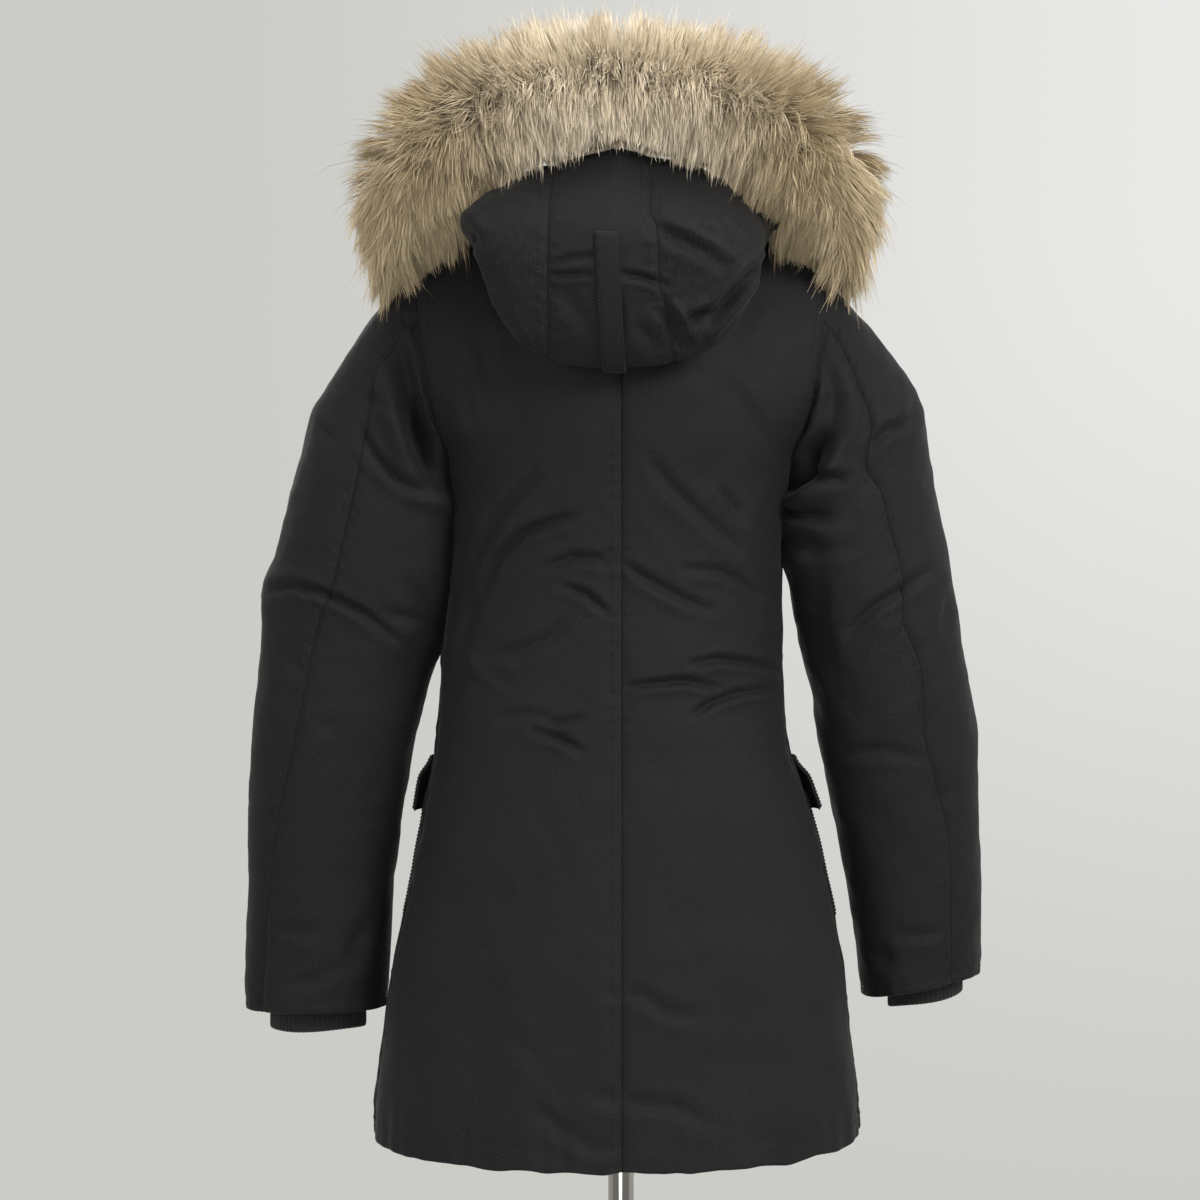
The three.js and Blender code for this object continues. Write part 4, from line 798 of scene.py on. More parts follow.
def mesh_piece(name, points, faces, material, smooth_faces=True):
    """Many small like shapes as one mesh, from arrays of points (m) and corners."""
    mesh = bpy.data.meshes.new(name)
    points = np.asarray(points, np.float32).reshape(-1, 3)
    corners = np.concatenate([np.asarray(f, np.int32).ravel() for f in faces])
    sizes = np.concatenate([np.full(len(f), f.shape[1], np.int32) for f in faces])
    mesh.vertices.add(len(points))
    mesh.vertices.foreach_set("co", points.ravel())
    mesh.loops.add(len(corners))
    mesh.loops.foreach_set("vertex_index", corners)
    mesh.polygons.add(len(sizes))
    starts = np.concatenate([[0], np.cumsum(sizes)[:-1]]).astype(np.int32)
    mesh.polygons.foreach_set("loop_start", starts)
    mesh.update(calc_edges=True)
    return placed(name, mesh, material, smooth_faces)


def turned_piece(name, profile, material, place=(0, 0, 0), lean=0.0, steps=64, soften=0):
    """A turned shape: a profile of (radius, height) in mm spun round +Z."""
    bm = bmesh.new()
    verts = [bm.verts.new((r * MM, 0, z * MM)) for r, z in profile]
    edges = [bm.edges.new(pair) for pair in zip(verts[:-1], verts[1:])]
    bmesh.ops.spin(bm, geom=verts + edges, cent=(0, 0, 0), axis=(0, 0, 1),
                   angle=math.tau, steps=steps, use_merge=True, use_duplicate=False)
    bmesh.ops.remove_doubles(bm, verts=bm.verts, dist=1e-6)
    bmesh.ops.recalc_face_normals(bm, faces=bm.faces)
    for vert in bm.verts:
        vert.co.x += vert.co.z * lean + place[0] * MM
        vert.co.y += place[1] * MM
        vert.co.z += place[2] * MM
    mesh = bpy.data.meshes.new(name)
    bm.to_mesh(mesh)
    bm.free()
    obj = placed(name, mesh, material)
    if soften:
        subdivision = obj.modifiers.new("soften", "SUBSURF")
        subdivision.levels = subdivision.render_levels = soften
    return obj


# Finishes
def new_material(name):
    """A new material, its node tree and its shader."""
    material = bpy.data.materials.new(name)
    material.use_nodes = True
    tree = material.node_tree
    return material, tree, tree.nodes["Principled BSDF"]


def node(tree, kind, **values):
    """A shader node with its sockets and options set."""
    made = tree.nodes.new(kind)
    for key, value in values.items():
        if key in made.inputs:
            made.inputs[key].default_value = value
        else:
            setattr(made, key, value)
    return made


def texture(tree, kind, vector, **values):
    """A texture node that reads the given coordinates."""
    made = node(tree, kind, **values)
    tree.links.new(vector, made.inputs["Vector"])
    return made


def noise(tree, vector, **values):
    """Soft random mottle."""
    return texture(tree, "ShaderNodeTexNoise", vector, **values)


def object_place(tree):
    """Coordinates on the piece, in metres."""
    return node(tree, "ShaderNodeTexCoord").outputs["Object"]


def cloth_place(tree):
    """Coordinates along the laid cloth, in metres."""
    return node(tree, "ShaderNodeUVMap", uv_map="cloth").outputs["UV"]


def bands(tree, vector, direction, pitch, **values):
    """Threads or ribs as bands at one pitch in metres."""
    return texture(tree, "ShaderNodeTexWave", vector, wave_type="BANDS", bands_direction=direction,
                   Scale=math.pi / 20 / pitch, **values)


def bump(tree, height, strength, distance, below=None):
    """Relief from a height, laid over the relief below it."""
    made = node(tree, "ShaderNodeBump", Strength=strength, Distance=distance)
    tree.links.new(height, made.inputs["Height"])
    if below:
        tree.links.new(below, made.inputs["Normal"])
    return made.outputs["Normal"]


def colour_between(tree, factor, dark, light, low=0.3, high=0.7):
    """A colour that runs from dark to light with a factor."""
    ramp = node(tree, "ShaderNodeValToRGB")
    ramp.color_ramp.elements[0].position = low
    ramp.color_ramp.elements[1].position = high
    ramp.color_ramp.elements[0].color = (*dark, 1)
    ramp.color_ramp.elements[1].color = (*light, 1)
    tree.links.new(factor, ramp.inputs["Fac"])
    return ramp.outputs["Color"]


def shade(colour, share):
    return tuple(c * share for c in colour)


def tint(tree, shader, factor, colour, dark, light):
    """Colours the surface between a darker and a lighter shade of one colour."""
    made = colour_between(tree, factor, shade(colour, dark), shade(colour, light))
    tree.links.new(made, shader.inputs["Base Color"])


def weave_height(tree, uv, pitch):
    """Height of a plain weave: warp and weft threads at one pitch."""
    add = node(tree, "ShaderNodeMath", operation="ADD")
    for socket, direction in enumerate("XY"):
        tree.links.new(bands(tree, uv, direction, pitch).outputs["Fac"], add.inputs[socket])
    return add.outputs[0]


def shell_cloth(colour):
    """Near-black close-woven shell cloth with a soft satin bloom, made once for all panels."""
    if "shell_cloth" in bpy.data.materials:
        return bpy.data.materials["shell_cloth"]
    material, tree, shader = new_material("shell_cloth")
    uv = cloth_place(tree)
    place = object_place(tree)
    drift = noise(tree, place, Scale=9, Detail=4, Roughness=0.55)
    rumple = noise(tree, place, Scale=70, Detail=3, Roughness=0.5)
    slub = noise(tree, uv, Scale=560, Detail=1, Roughness=0.5)
    drifted = colour_between(tree, drift.outputs["Fac"], shade(colour, 0.86), shade(colour, 1.16))
    flecks = colour_between(tree, slub.outputs["Fac"], (0.4, 0.4, 0.4), (1.65, 1.65, 1.65))
    tree.links.new(blended(tree, 1.0, drifted, flecks, "MULTIPLY"), shader.inputs["Base Color"])
    soft = bump(tree, rumple.outputs["Fac"], 0.22, 0.0016)
    woven = bump(tree, weave_height(tree, uv, 0.0007), 0.25, 0.00012, soft)
    tree.links.new(bump(tree, slub.outputs["Fac"], 0.3, 0.0004, woven), shader.inputs["Normal"])
    rough = node(tree, "ShaderNodeMapRange", **{"To Min": 0.68, "To Max": 0.82})
    tree.links.new(slub.outputs["Fac"], rough.inputs["Value"])
    tree.links.new(rough.outputs["Result"], shader.inputs["Roughness"])
    shader.inputs["Specular IOR Level"].default_value = 0.24
    shader.inputs["Sheen Weight"].default_value = 0.03
    shader.inputs["Sheen Roughness"].default_value = 0.45
    return material


def sewing_thread(colour):
    """Dark polyester thread, a little glossier than the cloth."""
    material, tree, shader = new_material("sewing_thread")
    place = object_place(tree)
    twist = noise(tree, place, Scale=1500, Detail=2)
    tint(tree, shader, twist.outputs["Fac"], colour, 0.7, 1.3)
    tree.links.new(bump(tree, twist.outputs["Fac"], 0.3, 0.0001), shader.inputs["Normal"])
    shader.inputs["Roughness"].default_value = 0.42
    return material


def rib_knit(colour):
    """Matt knit: fine loops across each raised rib."""
    material, tree, shader = new_material("rib_knit_yarn")
    uv = cloth_place(tree)
    loops = bands(tree, uv, "Y", 0.0016, Distortion=1.6, **{"Detail Scale": 2.0})
    fuzz = noise(tree, uv, Scale=1400, Detail=3)
    tint(tree, shader, loops.outputs["Fac"], colour, 0.65, 1.3)
    normal = bump(tree, loops.outputs["Fac"], 0.5, 0.0004)
    tree.links.new(bump(tree, fuzz.outputs["Fac"], 0.3, 0.0002, normal), shader.inputs["Normal"])
    shader.inputs["Roughness"].default_value = 0.92
    shader.inputs["Sheen Weight"].default_value = 0.1
    return material


def woven_tape(colour):
    """Zip tape: herringbone bands of dull thread."""
    material, tree, shader = new_material("woven_tape")
    uv = cloth_place(tree)
    twill = bands(tree, uv, "DIAGONAL", 0.0009)
    tint(tree, shader, twill.outputs["Fac"], colour, 0.7, 1.3)
    tree.links.new(bump(tree, twill.outputs["Fac"], 0.5, 0.0002), shader.inputs["Normal"])
    shader.inputs["Roughness"].default_value = 0.8
    return material


def zip_metal(colour):
    """Dull dark metal of the zip's teeth."""
    material, tree, shader = new_material("zip_metal")
    place = object_place(tree)
    tarnish = noise(tree, place, Scale=400, Detail=3)
    tint(tree, shader, tarnish.outputs["Fac"], colour, 0.8, 1.2)
    shader.inputs["Metallic"].default_value = 1
    shader.inputs["Roughness"].default_value = 0.35
    return material


def strand_ramp(tree, along, root, middle, light, tip):
    """Colours along a hair, from its root to its tip."""
    ramp = node(tree, "ShaderNodeValToRGB")
    stops = ramp.color_ramp.elements
    stops[0].position, stops[0].color = 0.0, (*root, 1)
    stops[1].position, stops[1].color = 1.0, (*tip, 1)
    for position, colour in ((0.24, middle), (0.78, light)):
        stop = stops.new(position)
        stop.color = (*colour, 1)
    tree.links.new(along, ramp.inputs["Fac"])
    return ramp.outputs["Color"]


def blended(tree, factor, first, second, kind="MIX"):
    """Two colours put together by a factor."""
    made = node(tree, "ShaderNodeMix", data_type="RGBA", blend_type=kind)
    if isinstance(factor, float):
        made.inputs[0].default_value = factor
    else:
        tree.links.new(factor, made.inputs[0])
    tree.links.new(first, made.inputs[6])
    tree.links.new(second, made.inputs[7])
    return made.outputs[2]


def fur_hair(settings):
    """Long guard hair: dark root, pale length; golden at the sides, dark outer tips.

    The strand attribute holds how far along the hair, its own tone, how far it
    is to the side of the ruff, and how far towards the outer edge it grows."""
    material, tree, shader = new_material("fur_hair")
    strand = node(tree, "ShaderNodeAttribute", attribute_name="strand")
    parts = node(tree, "ShaderNodeSeparateColor")
    tree.links.new(strand.outputs["Color"], parts.inputs[0])
    along, tone, side = parts.outputs[0], parts.outputs[1], parts.outputs[2]
    cream = strand_ramp(tree, along, settings.fur_root, settings.fur_cream,
                        shade(settings.fur_cream, 1.22), shade(settings.fur_cream, 1.05))
    gold = strand_ramp(tree, along, shade(settings.fur_root, 0.8), settings.fur_gold,
                       shade(settings.fur_gold, 1.28), shade(settings.fur_gold, 0.95))
    body = blended(tree, side, cream, gold)
    tip = node(tree, "ShaderNodeMapRange", **{"From Min": 0.7, "From Max": 1.0})
    tree.links.new(along, tip.inputs["Value"])
    outer = node(tree, "ShaderNodeMath", operation="MULTIPLY")
    tree.links.new(tip.outputs["Result"], outer.inputs[0])
    tree.links.new(strand.outputs["Alpha"], outer.inputs[1])
    dark = node(tree, "ShaderNodeRGB")
    dark.outputs[0].default_value = (*settings.fur_tip, 1)
    tipped = blended(tree, outer.outputs[0], body, dark.outputs[0])
    tones = colour_between(tree, tone, (0.76, 0.73, 0.69), (1.2, 1.19, 1.17), 0.0, 1.0)
    tree.links.new(blended(tree, 1.0, tipped, tones, "MULTIPLY"), shader.inputs["Base Color"])
    shader.inputs["Roughness"].default_value = 0.62
    shader.inputs["Specular IOR Level"].default_value = 0.3
    shader.inputs["Sheen Weight"].default_value = 0.15
    return material


def under_fur(settings):
    """Dense soft wool under the long hair."""
    material, tree, shader = new_material("under_fur")
    place = object_place(tree)
    clumps = noise(tree, place, Scale=160, Detail=5, Roughness=0.7)
    wool = colour_between(tree, clumps.outputs["Fac"], shade(settings.fur_root, 0.7),
                          shade(settings.fur_gold, 0.95))
    tree.links.new(wool, shader.inputs["Base Color"])
    tree.links.new(bump(tree, clumps.outputs["Fac"], 0.8, 0.004), shader.inputs["Normal"])
    shader.inputs["Roughness"].default_value = 1.0
    return material


def form_linen(colour):
    """Plain woven linen stretched over the dress form."""
    material, tree, shader = new_material("form_cover")
    place = object_place(tree)
    stretch = texture(tree, "ShaderNodeMapping", place, Scale=(900, 900, 220))
    threads = noise(tree, stretch.outputs[0], Scale=1.0, Detail=4, Roughness=0.7)
    weft = bands(tree, place, "Z", 0.0011, Distortion=0.8)
    tint(tree, shader, threads.outputs["Fac"], colour, 0.82, 1.1)
    normal = bump(tree, weft.outputs["Fac"], 0.35, 0.0002)
    tree.links.new(bump(tree, threads.outputs["Fac"], 0.4, 0.0002, normal), shader.inputs["Normal"])
    shader.inputs["Roughness"].default_value = 0.9
    return material


def turned_wood(colour):
    """Pale turned wood under satin varnish, its grain along the turning axis."""
    material, tree, shader = new_material("finial_wood")
    place = object_place(tree)
    stretch = texture(tree, "ShaderNodeMapping", place, Scale=(70, 70, 9))
    grain = noise(tree, stretch.outputs[0], Scale=1.0, Detail=6, Roughness=0.6, Distortion=0.6)
    tint(tree, shader, grain.outputs["Fac"], colour, 0.72, 1.15)
    tree.links.new(bump(tree, grain.outputs["Fac"], 0.1, 0.0005), shader.inputs["Normal"])
    shader.inputs["Roughness"].default_value = 0.34
    shader.inputs["Coat Weight"].default_value = 0.4
    shader.inputs["Coat Roughness"].default_value = 0.2
    return material


def polished_chrome(colour):
    """Polished chrome with faint handling marks."""
    material, tree, shader = new_material("stand_chrome")
    place = object_place(tree)
    smear = noise(tree, place, Scale=30, Detail=5, Roughness=0.6)
    tint(tree, shader, smear.outputs["Fac"], colour, 0.94, 1)
    rough = node(tree, "ShaderNodeMapRange", **{"To Min": 0.08, "To Max": 0.2})
    tree.links.new(smear.outputs["Fac"], rough.inputs["Value"])
    tree.links.new(rough.outputs["Result"], shader.inputs["Roughness"])
    shader.inputs["Metallic"].default_value = 1
    return material


def studio_floor(colour):
    """Pale matt studio floor with a very faint mottle."""
    material, tree, shader = new_material("studio_floor")
    place = object_place(tree)
    mottle = noise(tree, place, Scale=3, Detail=6)
    tint(tree, shader, mottle.outputs["Fac"], colour, 0.98, 1)
    shader.inputs["Roughness"].default_value = 0.85
    return material


def backdrop_light(tree, settings):
    """Pale backdrop, brighter to the upper right of the picture; a dim room opposite."""
    place = node(tree, "ShaderNodeTexCoord").outputs["Generated"]
    axes = node(tree, "ShaderNodeSeparateXYZ")
    tree.links.new(place, axes.inputs[0])

    def ramp(axis, low, high):
        made = node(tree, "ShaderNodeMapRange", interpolation_type="SMOOTHSTEP",
                    **{"From Min": low, "From Max": high})
        tree.links.new(axes.outputs[axis], made.inputs["Value"])
        return made.outputs["Result"]

    bright = node(tree, "ShaderNodeMath", operation="MULTIPLY")
    tree.links.new(ramp("X", 0.16, -0.24), bright.inputs[0])
    tree.links.new(ramp("Z", -0.24, 0.14), bright.inputs[1])
    shades = []
    for colour in (settings.backdrop_shade, settings.backdrop_colour, settings.room_colour):
        made = node(tree, "ShaderNodeRGB")
        made.outputs[0].default_value = (*colour, 1)
        shades.append(made.outputs[0])
    wall = blended(tree, bright.outputs[0], shades[0], shades[1])
    tree.links.new(blended(tree, ramp("Y", -0.1, 0.5), wall, shades[2]), tree.nodes["Background"].inputs[0])


# Lines of the laid cloth, kept for the stitches
sewn = {}


def mount(piece, slot, *replaced):
    """Rides the piece on the coat and hides the nodes that it stands for; the slot is not used."""
    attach(piece, "root")
    if replaced:
        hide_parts(*replaced)


def declare(piece, replaced, slot, held, points, allowance=SEAM_ALLOWANCE):
    """Mounts a sheet and works out its cut from its laid surface, but keeps none of the sizes."""
    mount(piece, slot, replaced)
    across = lengths(points, 1)[:, -1]
    longest = float(lengths(points, 0)[-1].max())
    allowance = min(allowance, min(float(across.max()), longest) * MM * 0.07)
    width = float(np.median(across) if held == "draped" else across.max()) * MM + 2 * allowance
    length = longest * MM + 2 * allowance
    edges = across[[0, -1]].sum() + lengths(points, 0)[-1, [0, -1]].sum()
    along, up = np.diff(points, axis=1)[:-1], np.diff(points, axis=0)[:, :-1]
    area = float(np.linalg.norm(np.cross(along, up), axis=-1).sum()) * MM * MM
    area = min(area + edges * MM * allowance, width * length)


def keep_line(name, points, normals):
    """Remembers a line of the laid cloth, for stitches or a neighbour."""
    sewn[name] = (np.array(points, float), np.array(normals, float))


def body_panel(side, face, material, wall):
    """One of the four body panels, its creases, seams and turned hem."""
    def place(i, v):
        shift = SIDE_SEAM_SHIFT * smooth((SPLIT - v) / 0.12)
        return i * (1 - shift) if face == BACK else mix(ZIP_COLUMN, 1 + shift, i)

    def both(reader, i, v):
        u = place(i, v)
        over = u > 1
        own = reader(side, face, np.where(over, 1, u), v)
        other = reader(side, -face, np.where(over, 2 - u, 1), v)
        return np.where(over[:, None], other, own)

    skirt = BODY_ROWS["z"][-1] - BODY_ROWS["z"][0]
    creased = [np.linspace(24, CREASED_HEIGHT, 56), np.linspace(CREASED_HEIGHT + 3, skirt, 84)]
    lower = creased if face == BACK else [np.linspace(24, skirt, 92)]
    rows = np.concatenate([[0, 1.5, 4, 8, 12, 16, HEM_STITCHES, 20], *lower]) / skirt * SPLIT
    top = np.linspace(0, 1, 48 if face == BACK else 36)[1:]
    rows = np.concatenate([rows, SPLIT + (1 - SPLIT) * top ** 0.94])
    rows[-1] = 1
    across = even_columns(lambda i, v: both(body_face, i, v), rows, 82 if face == BACK else 32)
    up = np.repeat(rows[:, None], across.shape[1], 1)
    shape = up.shape
    points = both(body_face, across.ravel(), up.ravel()).reshape(*shape, 3)
    normals = both(body_normal, across.ravel(), up.ravel()).reshape(*shape, 3)
    near_neck = np.exp(-((across - NECK_COLUMN) / 0.17) ** 2)
    near_neck *= smooth((up - SPLIT) / 0.08) * smooth((1 - up) / 0.06)
    relax((points, normals), near_neck, 60, 1)
    at_armpit = np.exp(-((up - SPLIT) / 0.04) ** 2) * smooth((0.97 - across) / 0.1)
    relax((points, normals), at_armpit, 80, 0)
    normals = unit(normals)
    walked_across, walked_up = lengths(points, 1), lengths(points, 0)
    to_start, to_end = walked_across, walked_across[:, -1:] - walked_across
    to_top = walked_up[-1:] - walked_up
    seed = 10 + side * 2 + face
    facing = smooth(face * normals[..., 1] / 0.25)
    free = smooth(np.minimum(np.minimum(to_start, to_end), to_top) / 9)
    height = crease_height(points, BACK_CREASES if face == BACK else FRONT_CREASES, facing) * free
    height += 1.6 * (1 - np.exp(-np.minimum(to_start, to_end) / 26))
    height += (0.55 * unevenness(points, seed, 48) + 0.25 * unevenness(points, seed + 50, 19)) * free
    height += seam_height(to_start, walked_up, 3 if face == BACK else seed + 1)
    height += seam_height(to_end, walked_up, seed + 3, 1.4, 0.7 * smooth((walked_up - 10) / 50))
    height += seam_height(to_top, walked_across, seed + 5, 1.2, 0.4)
    height -= 0.8 * np.exp(-((walked_up - HEM_STITCHES) / 2.4) ** 2)
    height += 0.8 * wander(walked_across, seed + 9, 46) * np.exp(-(walked_up / 34) ** 2)
    if face == FRONT:
        height *= smooth(across / 0.02)
    points = points + normals * height[..., None]
    around = points[..., 0] + face * HEM_WAVE_SHIFT
    for rise, wave_seed, size in HEM_WAVES:
        points[..., 2] += rise * wander(around, wave_seed, size) * np.exp(-(walked_up / HEM_WAVE_REACH) ** 2)
    name = ("back" if face == BACK else "front") + ("_left" if side == LEFT else "_right")
    keep_line(name + "_middle", points[:, 4], normals[:, 4])
    keep_line(name + "_hem", points[6], normals[6])
    arm = np.searchsorted(rows, SPLIT + 0.004)
    keep_line(name + "_arm_near", points[arm:, -3], normals[arm:, -3])
    keep_line(name + "_arm_far", points[arm:, -5], normals[arm:, -5])
    laid, extra = turned_edge(points, normals, True)
    all_normals = np.concatenate([np.repeat(normals[:1], extra, 0), normals])
    piece = cloth_piece(name + "_cloth", laid, all_normals, wall, material)
    declare(piece, name, "coat_cloth", "hung", laid)


def sleeve_panel(side, part, material, wall):
    """One sleeve piece between the back seam and the front seam."""
    under = part == "under"
    turn = RING_POINTS + BACK_SEAM_POINT
    start, end = (BACK_SEAM_POINT, FRONT_SEAM_POINT) if under else (FRONT_SEAM_POINT, turn)
    rows = np.concatenate([[0, 0.002, 0.005, 0.009, 0.014], np.linspace(0.02, 0.6, 104),
                           np.linspace(0.608, 0.97, 46), [0.976, 0.982, 0.9875, 0.993, 1]])

    def surface(i, v):
        return sleeve_face(side, mix(start, end, i), v)

    across = even_columns(surface, rows, 44 if under else 48)
    up = np.repeat(rows[:, None], across.shape[1], 1)
    shape = up.shape
    index = mix(start, end, across)
    points = sleeve_face(side, index.ravel(), up.ravel()).reshape(*shape, 3)
    normals = sleeve_normal(side, index.ravel(), up.ravel()).reshape(*shape, 3)
    walked_across, walked_up = lengths(points, 1), lengths(points, 0)
    to_start, to_end = walked_across, walked_across[:, -1:] - walked_across
    to_cuff = walked_up[-1:] - walked_up
    seed = 40 + side * 2 + (1 if under else 0)
    free = smooth(np.minimum(walked_up, np.minimum(to_start, to_end)) / 9)
    loose = smooth(np.minimum(walked_up, 60) / 14)
    height = crease_height(points, SLEEVE_CREASES[side], smooth(normals[..., 1] / 0.2 + 0.35)) * loose
    height += crease_height(points, SLEEVE_FRONT_CREASES[side], smooth(-normals[..., 1] / 0.25)) * loose
    height += 1.8 * (1 - np.exp(-np.minimum(to_start, to_end) / 24)) * smooth(walked_up / 20)
    height += 0.6 * unevenness(points, 60 + side, 42) * loose
    height += 0.25 * unevenness(points, 70 + side, 17) * free
    back_edge, front_edge = (to_start, to_end) if under else (to_end, to_start)
    height += seam_height(back_edge, walked_up, 90 + side, 1.7, 0.9)
    height += seam_height(front_edge, walked_up, 94 + side, 1.4, 0.6)
    height += seam_height(walked_up, walked_across, seed + 7, 1.4, 0.5)
    height -= 0.7 * np.exp(-((to_cuff - CUFF_STITCHES) / 2) ** 2)
    height += 0.5 * wander(walked_across, seed + 8, 30) * np.exp(-(to_cuff / 16) ** 2)
    low, high, reach = SLEEVE_LEAN[side]
    level = smooth((points[..., 2] - low) / 50) * smooth((high - points[..., 2]) / 30)
    points[..., 0] -= side * reach * level * smooth((-side * normals[..., 0] - 0.1) / 0.6)
    points = points + normals * height[..., None]
    points[..., 0] -= side * SLEEVE_TUCK * np.clip(1 - walked_up / SLEEVE_TUCK_REACH, 0, 1)
    word = "left" if side == LEFT else "right"
    name = f"sleeve_{part}_{word}"
    column = 3 if under else -4
    keep_line(name + "_seam", points[:, column], normals[:, column])
    cuff_row = int(np.argmin(np.abs(to_cuff[:, shape[1] // 2] - CUFF_STITCHES)))
    keep_line(name + "_cuff", points[cuff_row], normals[cuff_row])
    laid, extra = turned_edge(points, normals, False, 2.2, 14)
    all_normals = np.concatenate([normals, np.repeat(normals[-1:], extra, 0)])
    piece = cloth_piece(name + "_cloth", laid, all_normals, wall, material)
    declare(piece, name, "coat_cloth", "hung", laid)


def hood_line(table):
    """A seam of the hood by the x it keeps at each height of the hood."""
    steps, x = table

    def line(v):
        flat = np.asarray(v, float).ravel()
        seen = np.maximum(flat, HOOD_FOLD_STEP)
        return hood_place_at(np.interp(seen, steps, x), seen).reshape(np.shape(v))
    return line


def hood_panel(name, low, high, inner, crowd, material, wall):
    """One hood panel, from the seam line nearer the middle to the other."""
    def surface(i, v):
        return hood_face(mix(low(v), high(v), i), v)

    rows = np.concatenate([np.linspace(0, 0.46, 14), np.linspace(0.47, 0.985, 112), [0.993, 1]])
    across = even_columns(surface, rows, inner, crowd)
    up = np.repeat(rows[:, None], across.shape[1], 1)
    place = mix(low(rows)[:, None], high(rows)[:, None], across)
    points = hood_face(place.ravel(), up.ravel()).reshape(*up.shape, 3)
    normals = hood_normal(place.ravel(), up.ravel()).reshape(*up.shape, 3)
    x, y, z = (points[..., k] for k in range(3))
    # The upper corner on the wearer's right is pressed in.
    pressed = np.exp(-((z - HOOD_PRESS["height"]) / HOOD_PRESS["band"]) ** 2)
    pressed *= smooth((-x - HOOD_PRESS["x"]) / 34) * smooth((y - HOOD_PRESS["y"]) / 60)
    points[..., 0] += HOOD_PRESS["reach"] * pressed
    walked_across, walked_up = lengths(points, 1), lengths(points, 0)
    to_start, to_end = walked_across, walked_across[:, -1:] - walked_across
    free = smooth(np.minimum(to_start, to_end) / 7)
    shown = smooth((up - 0.46) / 0.06) * smooth((1 - up) / 0.05) * smooth(normals[..., 1] / 0.2)
    height = crease_height(points, HOOD_CREASES, shown) * mix(0.4, 1, free)
    height += 1.2 * (1 - np.exp(-np.minimum(to_start, to_end) / 20)) * shown
    height += 0.5 * unevenness(points, 21, 40) * free + 0.25 * unevenness(points, 22, 15) * free
    height += seam_height(to_start, walked_up, 131 if name == "hood_left" else 132, 1.5, 0.6)
    if name == "hood_centre":
        height += seam_height(to_end, walked_up, 131, 1.5, 0.6)
    points = points + normals * height[..., None]
    keep_line(name + "_start", points[:, 4], normals[:, 4])
    keep_line(name + "_end", points[:, -5], normals[:, -5])
    piece = cloth_piece(name + "_cloth", points, normals, wall, material)
    declare(piece, name, "coat_cloth", "draped", points)


def stitches(lines, pitch, length, width):
    """Points and corners of thread stitches laid along lines of cloth."""
    all_points, quads, triangles = [], [], []
    count = 0
    for points, normals in lines:
        walked = np.concatenate([[0], np.cumsum(np.linalg.norm(np.diff(points, axis=0), axis=1))])
        total = walked[-1]
        if total < 2 * pitch:
            continue
        at = np.arange(pitch / 2, total - pitch / 2, pitch)
        centre = np.stack([np.interp(at, walked, points[:, k]) for k in range(3)], 1)
        ahead = np.stack([np.interp(at + 0.6, walked, points[:, k]) for k in range(3)], 1)
        way = unit(ahead - centre)
        normal = unit(np.stack([np.interp(at, walked, normals[:, k]) for k in range(3)], 1))
        side = np.cross(way, normal)
        half, r = length / 2, width / 2
        shoulder = half * 0.6
        ring = [(-half, 0, -0.1), (-shoulder, r, 0.1), (-shoulder, 0, r + 0.18), (-shoulder, -r, 0.1),
                (shoulder, r, 0.1), (shoulder, 0, r + 0.18), (shoulder, -r, 0.1), (half, 0, -0.1)]
        made = np.stack([centre + way * a + side * b + normal * c for a, b, c in ring], 1)
        start = count + np.arange(len(at))[:, None] * 8
        quads += [start + corners for corners in ([4, 5, 2, 1], [5, 6, 3, 2], [6, 4, 1, 3])]
        triangles += [start + corners for corners in ([1, 2, 0], [2, 3, 0], [3, 1, 0],
                                                      [5, 4, 7], [6, 5, 7], [4, 6, 7])]
        all_points.append(made.reshape(-1, 3))
        count += len(at) * 8
    return np.concatenate(all_points) * MM, [np.concatenate(quads), np.concatenate(triangles)]


# Properties
def colour_setting(name, description, default):
    return bpy.props.FloatVectorProperty(name=name, description=description, subtype="COLOR",
                                         size=3, min=0, max=1, default=default)


def length_setting(name, description, default):
    return bpy.props.FloatProperty(name=name, description=description, unit="LENGTH",
                                   min=0, precision=4, default=default)


def count_setting(name, description, least, default):
    return bpy.props.IntProperty(name=name, description=description, min=least, default=default)


